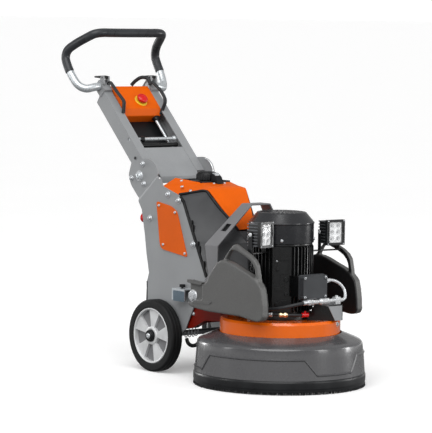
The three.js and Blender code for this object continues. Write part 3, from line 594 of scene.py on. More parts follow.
BLUE_ZINC = metal("blue_zinc", (104, 120, 132), 0.34, grain=0.03, metallic=0.5)
DARK_STEEL = metal("oiled_steel", (118, 119, 122), 0.4)
TOOL_STEEL = metal("tool_steel", (120, 121, 122), 0.45, (1, 1, 6))
CHROME = metal("bright_tube", (216, 221, 224), 0.3, grain=0.0, metallic=0.6)
BRASS = metal("brass", (222, 204, 168), 0.26)
BRAID = braid_material()
RED = moulded("red_plastic", (206, 18, 22), 0.25, 0.08)
YELLOW = moulded("yellow_plastic", (226, 186, 40), 0.4, 0.1)
HOSE = rubber("hose_rubber", (44, 45, 47), 0.48, 300, 0.15)
GRIP = rubber("grip_foam", (52, 54, 57), 0.3, 700, 0.12)
LENS = lamp_glass()
GLOWING_REFLECTOR = lamp_white_with_painted_glow()
SLOT_OF = {
    material.name: slot for slot, materials in {
        "bright_steel": (STEEL, PLATED, CHROME, BRASS, BRAID, DARK_STEEL, BLUE_ZINC),
        "black_paint": (MOTOR_BLACK, COWL_BLACK, LID_BLACK, LAMP_BLACK, LAMP_FIN),
        "black_plastic": (BLACK_PLASTIC,),
        "red_plastic": (RED, YELLOW),
        "hose_rubber": (HOSE,),
        "skirt_rubber": (SKIRT_BLACK, BRISTLE),
        "shroud_grey": (SHROUD_GREY,),
        "cast_grey": (CAST,),
        "tyre_rubber": (TYRE,),
        "alloy": (ALLOY,),
        "grip_foam": (GRIP,),
        "orange_paint": (ORANGE,),
    }.items() for material in materials
}


# ---------------------------------------------------------------- fasteners
def hexagon(radius, angle):
    """The radius of a hexagon whose corners are at the given radius."""
    part = (angle % (math.pi / 3)) - math.pi / 6
    return radius * math.cos(math.pi / 6) / math.cos(part)


def socket_head(radius, height, sides=24):
    """A domed screw head with a hexagon socket."""
    dome = [(radius, 0), (radius, 0.25), (0.93 * radius, 0.62), (0.78 * radius, 0.88), (0.58 * radius, 1.0)]
    loops = [loop_at(r, h * height, sides) for r, h in dome]
    loops.append(loop_at(0.46 * radius, height, sides, hexagon))
    loops.append(loop_at(0.44 * radius, 0.4 * height, sides, hexagon))
    return rings(loops)


def hex_head(radius, height, sides=24):
    """A hexagon bolt head with a chamfered top."""
    loops = [
        loop_at(radius, 0, sides, hexagon),
        loop_at(radius, 0.8 * height, sides, hexagon),
        loop_at(0.84 * radius, height, sides),
        loop_at(0.5 * radius, height, sides),
    ]
    return rings(loops)


def washer(radius, height, hole):
    ease = height / 3
    chamfer = [(radius, height - ease), (radius - ease, height)]
    return lathe([(hole, 0), (radius, 0), *chamfer, (hole, height)], 32)


def bolts(name, spots, radius, material=STEEL, body="frame", head=socket_head, height=None,
          washer_radius=0.0):
    """Fasteners at (place, direction), each turned at random about its own axis."""
    height = height or 0.75 * radius
    shapes = []
    for place, direction in spots:
        seat = 0.3 * radius if washer_radius else 0.0
        where = facing(place, direction, random.uniform(0, math.pi))
        shapes.append(moved(head(radius, height), where @ Matrix.Translation((0, 0, seat))))
        if washer_radius:
            shapes.append(moved(washer(washer_radius, seat, 0.3 * radius), where))
    piece(name, combine(*shapes), material, body)


# ---------------------------------------------------------------- CAD nodes that stay
for node, material, edge in (
    ("head_housing", GLOSS_ORANGE, 1.6),
    ("head_bracket", SHADED_ORANGE, 2.0),
    ("control_box", ORANGE, 1.4),
    ("planet_carrier", DARK_STEEL, 1.0),
    ("motor_rotor", STEEL, 0),
    ("cooling_fan", BLACK_PLASTIC, 0),
    ("terminal_box", MOTOR_BLACK, 1.5),
    ("lifting_yoke", YOKE_GREY, 1.4),
    ("front_cover", COVER, 1.0),
    ("rear_cover", BLACK_PLASTIC, 1.0),
    ("floor_pan", GREY, 1.0),
    ("water_tank", BLACK_PLASTIC, 3.0),
    ("inverter_box", DARK_STEEL, 3.0),
    ("wheel_axle", DARK_STEEL, 1.0),
    ("mast_pivot", STEEL, 1.2),
    ("mast_panel", GREY, 1.0),
    ("cross_rod", CHROME, 0.6),
    ("main_switch", RED, 1.5),
    ("dust_port", BLACK_PLASTIC, 1.2),
):
    dress(node, material, edge)
for k in (1, 2, 3):
    dress(f"grinding_disc_{k}", TOOL_STEEL, 0.8)
for side, _ in SIDES:
    for node, material, edge in (
        ("side_plate", GREY_BRACKET, 0.9),
        ("service_panel", ORANGE, 0.8),
        ("mast_arm", GREY, 0.9),
        ("clamp_lever", SOFT_BLACK, 1.4),
        ("latch_plunger", BLACK_PLASTIC, 1.2),
        ("lamp_bracket", LAMP_BLACK, 0.6),
        ("weight_bolt", STEEL, 1.4),
    ):
        dress(f"{node}_{side}", material, edge)


# ---------------------------------------------------------------- shroud and brush skirt
def polar(angle, radius, z):
    return Vector((radius * math.cos(angle), radius * math.sin(angle), z))


def crease_height(angle):
    """Where the shroud's pressed ledge runs: low at the front and rear, high along the sides."""
    degrees = abs(math.degrees(math.atan2(math.sin(angle), math.cos(angle))))
    low, high = 62, 113
    front = max(0.0, min(1.0, (degrees - 15) / 9))
    rear = max(0.0, min(1.0, (104 - degrees) / 9))
    return low + (high - low) * min(front, rear)


def shroud_wall(angle):
    """(radius, height) up the outer wall: a raised band, a bead along its top edge, the wall above."""
    low, crease, top = SKIRT_TOP + 0.3, crease_height(angle), 127.5
    relief = [(low + (crease - 4 - low) * k / 4, 1.6) for k in range(5)]
    relief += [(crease - 1.8, 4.4), (crease + 0.4, 4.6), (crease + 3.2, 0)]
    relief += [(crease + 3.2 + (top - crease - 3.2) * k / 5, 0) for k in range(1, 6)]
    return [(280 - 6 * (z - SKIRT_TOP) / 85 + out, z) for z, out in relief]


def shroud_piece():
    top = fillet([
        (273.6, 128), (272.4, 146, 7), (261, 153.2, 9), (204, SHROUD_TOP, 1.5), (204, 171),
    ], 0, 6)[1:]
    inside = [(256, 147.5), (267, 132), (274.5, SKIRT_TOP + 0.3)]
    sides = 360
    columns = []
    for i in range(sides):
        angle = 2 * math.pi * i / sides
        columns.append([polar(angle, radius, z) for radius, z in (*shroud_wall(angle), *top, *inside)])
    shell = rings([list(row) for row in zip(*columns)], closed=True)
    obj = piece("shroud_shell", shell, SHROUD_GREY, "shroud", stands_for="shroud", smooth_angle=38)
    carve(obj, bar((-320, 0, 104), (-220, 0, 104), 34.6, 48))


def skirt_pieces():
    outer = SKIRT_RADIUS - 0.2
    band = fillet([
        (273, SKIRT_TOP), (281.5, SKIRT_TOP, 1.5), (283, SKIRT_TOP - 3), (outer - 0.6, SKIRT_TOP - 6, 2),
        (outer - 0.6, 19, 2), (outer - 1.8, 16), (outer - 2.2, 8, 1.5), (273, 8),
    ], 0.4, 3)
    piece("skirt_band", lathe(band, 240), SKIRT_BLACK, "shroud", stands_for="brush_skirt")
    bristles = []
    for radius, count in ((276.0, 470), (279.3, 480), (282.4, 492)):
        for i in range(count):
            angle = 2 * math.pi * (i + random.uniform(-0.3, 0.3)) / count
            splay = random.uniform(-0.8, 1.2)
            lean = random.uniform(-0.006, 0.006)
            length = random.uniform(0.0, 1.8)
            loops = []
            for z, r, width, turn in ((10, radius, 1.3, 0), (length, radius + splay, 0.95, lean)):
                centre = polar(angle + turn, r, z)
                loops.append([centre + polar(angle + a, width, 0) for a in (0, 2.1, 4.2)])
            bristles.append(rings(loops))
    piece("skirt_bristles", combine(*bristles), BRISTLE, "shroud")


shroud_piece()
skirt_pieces()


# ---------------------------------------------------------------- motor
FACING = math.radians(-39)  # the direction of the motor's cast pads
FIN_STEP = 7.5  # degrees between the motor's cooling fins


def motor_body():
    low, high = DRUM_TOP + 0.3, STATOR_TOP
    core = fillet([
        (58, low + 16), (97, low + 16), (97, high - 7), (103, high - 7), (103, high, 1.5), (58, high),
    ], 0.5, 2)
    flange = fillet([(60, low), (117.5, low), (117.5, low + 12, 2), (106, low + 17), (60, low + 17)], 0.5, 3)
    parts = [lathe(core, 72), lathe(flange, 96)]
    fin = slab([
        (95, low + 22), (107, low + 28), (107, high - 14), (105, high - 8), (95, high - 6),
    ], -1.3, 1.3)
    turns = [FACING + math.radians(FIN_STEP * i) for i in range(3, 46)]
    parts += [moved(fin, Matrix.Rotation(turn, 4, "Z")) for turn in turns]
    ahead = Matrix.Rotation(FACING, 4, "Z")
    pads = (  # depths along the radius, widths along the tangent, heights
        (88, 101, -31, 31, low + 20, high - 8),
        (96, 106.5, -31, -26, low + 20, high - 8),
        (96, 105, 24, 31, low + 60, high - 8),
        (98, 106, -12, 16, low + 22, low + 64),
        (98, 106.5, -22, 8, low + 96, low + 108),
        (98, 105, -4, 4, low + 108, low + 148),
        (98, 104.5, -14, 18, low + 150, low + 190),
        (98, 106, -6, 24, low + 196, high - 10),
    )
    parts += [moved(block(*pad), ahead) for pad in pads]
    for tangent, z, size in ((-14, low + 166, 6), (15, low + 132, 8), (14, low + 84, 6), (-16, low + 50, 7)):
        boss = [(0, 0), (size, 0), (size, 7), (size - 1.5, 8.5), (0, 8.5)]
        parts.append(turned(boss, 24, ahead @ Vector((97, tangent, z)), polar(FACING, 1, 0)))
    piece("motor_body", combine(*parts), MOTOR_BLACK, bevel=0.7, stands_for="motor_stator")
    spots = [(polar(FACING + math.radians(45 + 90 * k), 111, low + 16.4), (0, 0, 1)) for k in range(4)]
    bolts("motor_flange_bolts", spots, 5.5, head=hex_head)


def fan_cowl():
    r, low, top = COWL_RADIUS - 0.2, COWL_LOW.z, COWL_HIGH.z
    shell = fillet([
        (104, low), (r, low, 0.6), (r, low + 61, 1), (r + 1.6, low + 63, 1), (r + 1.6, low + 67, 1.5),
        (r - 0.8, low + 69, 1), (84, top - 5, 4), (80.5, top - 1.2, 1.4), (74, top - 0.4, 1),
        (71, top - 3, 1), (71, top - 6), (79, top - 7), (102, low + 66), (103.5, low + 60),
    ], 0.5, 4)
    ring = [(46, top - 4.6), (49, top - 4.6), (49, top - 1.8), (46, top - 1.8)]
    hub = [(0, top - 5), (22, top - 5), (22, top - 2.4), (19, top - 1.6), (0, top - 1.6)]
    parts = [lathe(shell, 128), lathe(ring, 72), lathe(hub, 48)]
    rib = slab([(19, -1.4), (73, -3.4), (73, 3.4), (19, 1.4)], top - 5.5, top - 1.0, "xy")
    parts += [moved(rib, Matrix.Rotation(i * math.pi / 12, 4, "Z")) for i in range(24)]
    piece("fan_cowl_shell", combine(*parts), COWL_BLACK, stands_for="fan_cowl")
    turns = [math.radians(a) for a in (-40, 50, 140, 230)]
    bolts("cowl_screws", [(polar(a, r - 0.2, low + 11), polar(a, 1, 0)) for a in turns], 5.2)
    bolts("motor_side_screw", [(polar(FACING - 0.16, 100.8, 414), polar(FACING, 1, 0))], 3.2)


def terminal_lid():
    low, high = size_of("terminal_lid")
    y0, y1, z0, z1 = low.y, high.y, low.z, high.z
    rim = panel(y0, z0, y1, z1, 7)
    cover = panel(y0 + 3, z0 + 3, y1 - 3, z1 - 3, 6)
    boxes = [slab(rim, low.x, low.x + 6, "yz"), slab(cover, low.x + 5, high.x - 2.4, "yz")]
    corners = [(y, z) for y in (y0 + 10, y1 - 10) for z in (z0 + 10, z1 - 10)]
    for y, z in corners:
        boxes.append(bar((low.x + 4, y, z), (high.x - 1.2, y, z), 8, 24))
    piece("terminal_lid_cover", combine(*boxes), LID_BLACK, bevel=1.6, stands_for="terminal_lid")
    spots = [((high.x - 5, y, z), (1, 0, 0)) for y, z in corners]
    bolts("terminal_lid_bolts", spots, 5.6)


motor_body()
fan_cowl()
terminal_lid()


# ---------------------------------------------------------------- water valve, hoses and conduit
CONDUIT = [
    (163, 54.5, 352), (163, 74, 353), (166, 104, 344), (173, 124, 322), (182, 122, 299), (189.5, 106, 289.5),
    (190, 92.9, 289),
]
WATER_HOSE = [
    (190, -50.9, 289), (190, -62, 288.5), (176, -96, 281), (140, -126, 270), (80, -146, 262), (10, -154, 260),
    (-70, -152, 260), (-122, -142, 262), (-142, -134, 262), (-158, -132, 262), (-166, -126.6, 262),
]
LOWER_HOSE = [
    (150, -14, 243), (142, -44, 243), (124, -70, 243), (96, -96, 243), (58, -118, 242), (14, -131, 241),
    (-34, -130, 240), (-74, -118, 239), (-96, -108, 238),
]


def hex_bar(start, end, radius):
    start, end = Vector(start), Vector(end)
    length = (end - start).length
    loops = [
        loop_at(0.86 * radius, 0, 24), loop_at(radius, 1.2, 24, hexagon),
        loop_at(radius, length - 1.2, 24, hexagon), loop_at(0.86 * radius, length, 24),
    ]
    return moved(rings(loops), facing(start, end - start))


def water_fittings():
    x, z = 190, 289
    parts = [
        bar((x, -50, z), (x, 70, z), 5.6),
        hex_bar((x, -47, z), (x, -36, z), 10.2),
        hex_bar((x, -33, z), (x, -25, z), 9.4),
        bar((x, -24, z), (x, -6, z), 7.4),
        bar((x, 4, z), (x, 44, z), 9.2, 40, 2),
        bar((x, 8, z), (x, 12, z), 9.8, 40),
        bar((x, 36, z), (x, 40, z), 9.8, 40),
        bar((x, 50, z), (x, 62, z), 6.6),
        slab(panel(x - 10.5, 275.8, x + 7.5, z + 11.5, 3), 68, 88.5),
        hex_bar((x, 87, z), (x, 92, z), 7.6),
        bar((x - 1, 78, z + 10), (x - 1, 78, z + 16), 5),
    ]
    piece("water_fittings", combine(*parts), PLATED, bevel=0.5, stands_for="water_valve")
    handle = slab(fillet([(x - 6, -42), (x + 4, -42), (x + 6, -14), (x - 4, -14)], 3), z + 10.5, z + 13, "xy")
    piece("valve_handle", handle, DARK_STEEL, bevel=0.6)


def hose(name, path, radius, material=HOSE, body="frame", stands_for=None, samples=90, shape=None):
    piece(name, swept(spline(path, samples), radius, 20, shape), material, body, stands_for=stands_for)


def braid_shape(share, angle):
    return 1 + 0.035 * math.sin(2 * math.pi * 44 * share + 3 * angle)


def hoses():
    hose("conduit_braid", CONDUIT, 4.8, BRAID, stands_for="motor_conduit", samples=260, shape=braid_shape)
    ends = [
        hex_bar((163, 54.3, 352), (163, 60, 352.1), 8.2), bar((163, 60, 352.1), (163, 69, 352.8), 6.4),
        bar((190, 92.4, 289), (190, 102, 289.2), 6.2), hex_bar((190, 92.2, 289), (190, 96, 289), 7.6),
    ]
    piece("conduit_glands", combine(*ends), PLATED)
    hose("water_hose_tube", WATER_HOSE, 5.9, stands_for="water_hose")
    ferrules = [bar((190, -50.6, 289), (188.6, -66, 288), 7.4),
                bar((-140, -134.6, 262), (-154, -132.4, 262), 7.4)]
    piece("hose_ferrules", combine(*ferrules), STEEL)
    hose("drain_hose_tube", LOWER_HOSE, 4.6)
    brass = [
        bar((122, -72, 243), (101, -92, 243), 6.2), hex_bar((119, -75, 243), (113, -81, 243), 8.4),
        hex_bar((108, -86, 243), (103, -90.5, 243), 8.0),
    ]
    piece("drain_fitting_brass", combine(*brass), BRASS)
    bright = [bar((80, -108, 242.6), (62, -116.5, 242.2), 6.0),
              hex_bar((84, -105.6, 242.7), (79, -108.4, 242.6), 7.6)]
    piece("drain_fitting_steel", combine(*bright), PLATED)
    stop = [bar((150.5, -10, 243), (145.6, -34, 243), 7.2), bar((149, -22, 249), (149, -22, 256), 3.6)]
    piece("drain_stop", combine(*stop), RED)


def valve_bracket():
    """A folded grey plate with a sloping dark flank, and its bolt on the drum."""
    base = DRUM_TOP + 1
    front = fillet([(34, 275), (98, 275), (98, base), (66, base)], 2)
    shell = [
        slab(front, 195, 198, "yz"),
        slab([(130, 272), (198, 272), (198, 275), (130, 275)], 34, 98),
        slab([(130, base), (198, base), (198, 275), (130, 275)], 95, 98),
    ]
    piece("valve_plate", combine(*shell), GREY, slot="grey_paint", bevel=0.9, stands_for="valve_bracket")
    near = [Vector(p) for p in ((196, 34, 274), (196, 66, base), (131, 0, base), (131, 34, 274))]
    far = [p + Vector((0, 4, 0)) for p in near]
    piece("valve_flank", rings([near, far]), MOTOR_BLACK, bevel=0.8)
    foot = math.radians(29)
    spot = (polar(foot, DRUM_RADIUS - 0.6, 208), polar(foot, 1, 0))
    bolts("valve_foot_bolt", [spot], 5.5, PLATED, head=hex_head, washer_radius=8.5)


water_fittings()
hoses()
valve_bracket()


# ---------------------------------------------------------------- work lamps
def lamp(side):
    """One lamp, drawn facing +x with its pivot at the origin."""
    x, y, z, degrees = LAMP_PLACES[side]
    where = Matrix.Translation((x, y, z)) @ Matrix.Rotation(math.radians(degrees), 4, "Z")
    turn = where.to_3x3()
    body = f"lamp_{side}"
    window = panel(-26, -34, 26, 34, 3)
    parts = [
        slab(panel(-36, -42, 36, 42, 4), 29, 40, "yz", [window]),
        slab(panel(-33, -38, 33, 38, 3), 12, 30, "yz"),
        slab(panel(-30, -35, 30, 35, 3), -12, 13, "yz"),
    ]
    fin = fillet([
        (-20, -31, 6), (-20, 31, 6), (14, 35.6, 1), (27, 35.6, 1), (27, -35.6, 1), (14, -35.6, 1),
    ], 1)
    fins = [slab(fin, level - 1.6, level + 1.6, "xy") for level in range(-35, 36, 10)]
    piece(f"lamp_fins_{side}", moved(combine(*fins), where), LAMP_FIN, body, bevel=0.6)
    piece(f"lamp_housing_{side}", moved(combine(*parts), where), LAMP_BLACK, body, bevel=0.7,
          stands_for=f"work_lamp_{side}")
    cup = [(10.2, 0), (11.4, 0), (11.0, 4.4), (4.4, 1.2), (4.4, 0.4), (8.6, 1.2)]
    dome = [(0, 0), (4.0, 0), (3.6, 1.6), (2.2, 2.6), (0, 3.0)]
    ring = [(6.2, 0), (7.6, 0), (7.6, 3.4), (6.2, 3.0)]
    cups, leds = [slab(window, 30.2, 31.4, "yz")], []
    for across in (-12.5, 12.5):
        for up in (-21.5, 0, 21.5):
            seat = (31.2, across, up), (1, 0, 0)
            cups.append(turned(cup, 32, *seat))
            leds += [turned(dome, 24, *seat), turned(ring, 32, *seat)]
    piece(f"lamp_reflectors_{side}", moved(combine(*cups), where), GLOWING_REFLECTOR, body)
    piece(f"lamp_leds_{side}", moved(combine(*leds), where), GREY, body)
    piece(f"lamp_lens_{side}", moved(slab(window, 36.6, 37.6, "yz"), where), LENS, body)
    corners = [(40, across, up) for up in (-38, 38) for across in (-31, 31)]
    spots = [(where @ Vector(corner), turn @ Vector((1, 0, 0))) for corner in corners]
    bolts(f"lamp_bezel_screws_{side}", spots, 2.4, STEEL, body)
    pins = [(where @ Vector((0, s * 38.8, 0)), turn @ Vector((0, s, 0))) for s in (-1, 1)]
    bolts(f"lamp_pivot_bolts_{side}", pins, 6.5, PLATED, body, height=1.6)


for side in LAMP_PLACES:
    lamp(side)


# ---------------------------------------------------------------- side weights
def side_weight(side):
    """A thick casting with softened edges, taken from the CAD node's own solid."""
    obj = link(f"weight_casting_{side}", nodes[f"side_weight_{side}"].data.copy())
    plain(obj, CAST)
    modify(obj, "Bevel", "BEVEL", width=5 * MM, segments=3, limit_method="ANGLE",
           angle_limit=math.radians(50))
    modify(obj, "Remesh", "REMESH", mode="VOXEL", voxel_size=2.4 * MM)
    modify(obj, "Soften", "SMOOTH", factor=0.5, iterations=10)
    baked(obj).data.shade_smooth()
    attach(obj, f"weight_{side}")
    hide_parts(f"side_weight_{side}")


def pivot_details(side, sign):
    seat = facing((-203, sign * 205.2, 284), (0, sign, 0))
    piece(f"weight_pivot_washer_{side}", moved(washer(21, 3, 10.4), seat), PLATED, f"weight_{side}")
    near, far = sorted((sign * 206, sign * 219))
    ribs = [
        slab(fillet([(-219, 328), (-148, 325), (-140, 334), (-219, 338)], 2), near, far),
        slab(fillet([(-196, 262), (-104, 266), (-92, 274), (-180, 272)], 2), near, far),
    ]
    piece(f"weight_ribs_{side}", combine(*ribs), CAST, f"weight_{side}", bevel=2.0)


for side, sign in SIDES:
    side_weight(side)
    pivot_details(side, sign)


# ---------------------------------------------------------------- wheels
SPOKE_TURN = 9  # degrees from straight ahead to the first spoke
SPOKES = 5


def wedge(middle_angle, half_angle, inner, outer, inner_share=1.0, steps=6):
    """An outline in x-z: part of a ring about the axle, between two radii."""
    points = []
    for radius, half in ((inner, half_angle * inner_share), (outer, half_angle)):
        arc = [math.radians(middle_angle + half * (2 * k / steps - 1)) for k in range(steps + 1)]
        if radius == outer:
            arc.reverse()
        points += [(AXLE.x + radius * math.cos(a), AXLE.z + radius * math.sin(a)) for a in arc]
    return points


def wheel(side, sign):
    low, high = size_of(f"tyre_{side}")
    centre = Vector((AXLE.x, (low.y + high.y) / 2, AXLE.z))
    half, outer, rim = (high.y - low.y) / 2, (high.z - low.z) / 2 - 0.1, 94.3
    groove = [(outer, -8.5), (outer - 1.6, -7.5), (outer - 1.6, -5.5), (outer, -4.5)]
    tread = fillet([
        (rim, -half + 2), (97, -half + 0.6, 1), (outer - 4.5, -half + 0.2, 4), (outer, -half + 5, 4), *groove,
        *[(r, -y) for r, y in reversed(groove)], (outer, half - 5, 4), (outer - 4.5, half - 0.2, 4),
        (97, half - 0.6, 1), (rim, half - 2),
    ], 0.5, 5)
    out = (0, sign, 0)
    body = f"wheel_{side}"
    piece(f"tyre_tread_{side}", turned(tread, 144, centre, out), TYRE, body, stands_for=f"tyre_{side}")
    barrel = fillet([(88, -20), (94, -20), (94, 20.6, 1), (92, 21.8, 1), (88, 20.4, 1)], 0.4, 3)
    boss = fillet([
        (12, 2), (31, 2), (31, 18.4, 2), (26, 19.8, 1), (22, 19.8, 1), (20.6, 18, 0.5), (12, 18),
    ], 0.4, 3)
    face = [turned(ring, 144, centre, out) for ring in (barrel, boss)]
    for i in range(SPOKES):
        spoke = wedge(SPOKE_TURN + 360 * i / SPOKES, 17.5, 29, 89, 0.9)
        face.append(slab(fillet(spoke, 1.2, 2), centre.y - sign * 2, centre.y + sign * 16))
    piece(f"wheel_face_{side}", combine(*face), ALLOY, body, bevel=1.6, stands_for=f"wheel_hub_{side}")
    backing = turned([(14, -8), (89, -8), (89, 5), (70, 7), (14, 7)], 96, centre, out)
    piece(f"wheel_backing_{side}", backing, YOKE_GREY, body, "alloy")
    seal = fillet([(15.4, 17), (20.4, 17), (20.4, 24, 1.5), (19, 28.8, 1.5), (15.4, 28.8)], 0.5, 3)
    piece(f"hub_seal_{side}", turned(seal, 64, centre, out), BLACK_PLASTIC)
    piece(f"axle_end_{side}", puck(14.6, 0.8, 48, (AXLE.x, sign * 190, AXLE.z), out), BLACK_PLASTIC)
    bolts(f"axle_bolt_{side}", [((AXLE.x, sign * 190.7, AXLE.z), out)], 9.5, height=4)


for side, sign in SIDES:
    wheel(side, sign)


# ---------------------------------------------------------------- frame details
def strip_along(line, left, right):
    """The outline of a strip beside a bent line, from `left` on one side to `right` on the other."""
    points = [Vector(p) for p in line]
    lefts, rights = [], []
    for i, point in enumerate(points):
        before, after = points[max(i - 1, 0)], points[min(i + 1, len(points) - 1)]
        along = (after - before).normalized()
        normal = Vector((-along.y, along.x))
        lefts.append(point + normal * left)
        rights.append(point - normal * right)
    return lefts + rights[::-1]


PLATE_BOLTS = ((-432, 603), (-374, 586), (-531, 516), (-294, 444))
PANEL_SCREWS = ((-478, 563), (-390, 545), (-453, 432), (-335, 410))
EAR_BOLTS = ((-585, 698), (-648, 646), (-578, 630))
PLATE_EDGE = ((-369, 602), (-349, 586), (-310, 511), (-266, 426), (-222, 341))


def plate_details(side, sign):
    out = (0, sign, 0)
    spots = [((x, sign * PLATE_OUTER, z), out) for x, z in PLATE_BOLTS]
    bolts(f"plate_bolts_{side}", spots, 8, washer_radius=11)
    spots = [((x, sign * (PLATE_OUTER + 3), z), out) for x, z in PANEL_SCREWS]
    bolts(f"panel_screws_{side}", spots, 5)
    spots = [((x, sign * HINGE_OUTER, z), out) for x, z in EAR_BOLTS]
    bolts(f"hinge_bolts_{side}", spots, 7.5, washer_radius=10)
    piece(f"hinge_hole_{side}", puck(5.5, 0.5, 24, (-630, sign * HINGE_OUTER, 716), out), SOFT_BLACK)
    seat = facing((PIVOT.x, sign * (HINGE_OUTER + 0.1), PIVOT.z), out)
    piece(f"pivot_washer_{side}", moved(washer(19, 2.4, 9), seat), STEEL)
    bolts(f"pivot_socket_{side}", [((PIVOT.x, sign * 131, PIVOT.z), out)], 10.5, CHROME, height=3.2)
    trim = slab(strip_along(PLATE_EDGE, 2.0, 8.5), sign * TRIM_INNER, sign * (PLATE_OUTER + 0.9))
    clips = []
    for share in (0.3, 0.36, 0.58, 0.64, 0.84):  # places along the plate's front edge
        x, z = -349 + share * 127, 586 - share * 245
        clips.append(block(x - 1, x + 9, sign * TRIM_INNER, sign * (PLATE_OUTER + 1.6), z - 14, z + 12))
    piece(f"edge_trim_{side}", combine(trim, *clips), SOFT_BLACK, slot="black_plastic", bevel=0.8)
    edge = [(-546, 300), (-544, 233), (-540, 234), (-541, 299)]
    rear = slab(edge, sign * 131, sign * (PLATE_OUTER + 0.6))
    piece(f"rear_edge_{side}", rear, SOFT_BLACK, slot="black_plastic")


def facet_spot(corners, share_a, share_b):
    """A place on a flat facet and its outward direction, from three of its corners."""
    a, b, c = [Vector(p) for p in corners]
    normal = (b - a).cross(c - a).normalized()
    if normal.z < 0:
        normal = -normal
    return a + (b - a) * share_a + (c - a) * share_b, normal


FOLD = 16  # how far the hood's front fold is rounded


def folded(rear, corner, front, steps=6):
    """Points down one line of the hood, rounded where it folds over its corner."""
    rear, corner, front = Vector(rear), Vector(corner), Vector(front)
    start = corner + (rear - corner).normalized() * FOLD
    end = corner + (front - corner).normalized() * FOLD
    return [rear, *bend(start, corner, end, steps), front]


def hood():
    """The orange hood: two rear facets with side flanges, and a front that folds down and tapers."""
    thick = 3.6
    lines = (
        folded((-385, -HOOD_HALF, 607), (-284, -83, 630), (-174, -39, 498)),
        folded((-345, -62, 646), (-283, -60, 632), (-173, -26, 499)),
        folded((-345, 62, 646), (-283, 60, 632), (-173, 26, 499)),
        folded((-385, HOOD_HALF, 607), (-284, 83, 630), (-174, 39, 498)),
    )
    loops = []
    for k, row in enumerate(zip(*lines)):
        inward = Vector((-thick * min(1, k / 7), 0, -thick * (1 - 0.4 * min(1, k / 7))))
        loops.append([*row, *[p + inward for p in reversed(row)]])
    shapes = [rings(loops)]
    for _, s in SIDES:
        facet = ((-485, s * 62, 655), (-470, s * HOOD_HALF, 629), (-385, s * HOOD_HALF, 607),
                 (-345, s * 62, 646))
        flange = ((-470, s * HOOD_HALF, 629), (-390, s * HOOD_HALF, 608), (-394, s * HOOD_HALF, 582),
                  (-466, s * HOOD_HALF, 602))
        for outline, inward in ((facet, (0, 0, thick)), (flange, (0, s * 3, 0))):
            top = [Vector(p) for p in outline]
            shapes.append(rings([top, [p - Vector(inward) for p in top]]))
    piece("hood_shell", combine(*shapes), ORANGE, bevel=1.2, stands_for="top_hood", smooth_angle=24)


def hood_details():
    spots = []
    for _, s in SIDES:
        rear = ((-485, s * 62, 655), (-470, s * HOOD_HALF, 629), (-345, s * 62, 646))
        front = ((-345, s * 62, 646), (-385, s * HOOD_HALF, 607), (-284, s * 62, 631))
        spots += [facet_spot(rear, 0.2, 0.34), facet_spot(rear, 0.72, 0.62), facet_spot(front, 0.6, 0.28)]
    bolts("hood_bolts", spots, 5.5)
    rim_outer = panel(-486, -64, -342, 64, 5)
    rim_inner = panel(-481, -58, -352, 58, 5)
    floor = panel(-484, -61, -347, 61, 5)
    neck = round_loop((CAP_X, 0), 27, 36)
    tray = combine(slab(floor, 644.6, 646.6, "xy", [neck]), slab(rim_outer, 644, 650, "xy", [rim_inner]))
    piece("hood_tray", tray, BLACK_PLASTIC, bevel=0.8)
    ribs = [block(-478, -440, y - 2, y + 2, 646, 649.6) for y in (-44, -34, 34, 44)]
    piece("tray_ribs", combine(*ribs), BLACK_PLASTIC, bevel=0.6)


def filler_cap():
    low, high = size_of("tank_cap")
    centre = (low + high) / 2
    radius, height = (high.x - low.x) / 2, high.z - low.z

    def grip(base, angle):
        return base * (1 - 0.035 * (0.5 + 0.5 * math.cos(24 * angle)))

    loops = [loop_at(26, 0.2, 144), loop_at(radius, 0, 144, grip), loop_at(radius, height * 0.62, 144, grip)]
    crown = (
        (0.95, 0.72), (0.9, 0.86), (0.84, 0.94), (0.74, 0.97),
        (0.70, 1.0), (0.66, 1.0), (0.62, 0.9), (0.2, 0.88),
    )
    loops += [loop_at(radius * s, height * h, 144) for s, h in crown]
    seat = Matrix.Translation((centre.x, centre.y, low.z))
    piece("filler_cap", moved(rings(loops), seat), BLACK_PLASTIC, "cap", stands_for="tank_cap")
    ridge = slab(panel(-24, -5, 24, 5, 5), height * 0.86, height, "xy")
    piece("filler_cap_grip", moved(ridge, seat @ Matrix.Rotation(0.6, 4, "Z")), BLACK_PLASTIC, "cap",
          bevel=1.0)


def cap_catch():
    """The small buckle beside the filler cap, with its bright clip and its screws."""
    wedge_shape = fillet([(-352, 647.5), (-318, 641), (-329, 664), (-344, 674), (-352, 674)], 3)
    piece("cap_buckle", slab(wedge_shape, -12, 14), BLACK_PLASTIC, bevel=1.5)
    clip = slab(fillet([(-351, 668), (-334, 668), (-336, 677), (-350, 678)], 2), -9, 8)
    piece("cap_clip", clip, CHROME, bevel=1.0)
    spots = [facet_spot(((-345, -62, 646), (-345, 62, 646), (-284, -62, 631)), share, 0.25)
             for share in (0.35, 0.72)]
    bolts("buckle_screws", spots, 4.5)


SEAL_PATH = (
    (-380, 128, 606), (-340, 106, 614), (-300, 88, 622), (-288, 82.5, 620), (-276, 79, 606), (-240, 66, 566),
    (-205, 52, 532), (-174, 40, 497),
)


def ear_edge_highlight():
    """A bright plated bead along the left hinge ear's edge, next to the hood: a painted highlight of that
    edge.
    """
    path = [(-505, 119, 670), (-507, 119, 682), (-516, 119, 696), (-530, 119, 707), (-548, 119, 713)]
    piece("ear_edge_highlight", swept(spline(path, 40), 2.4, 12), PLATED)


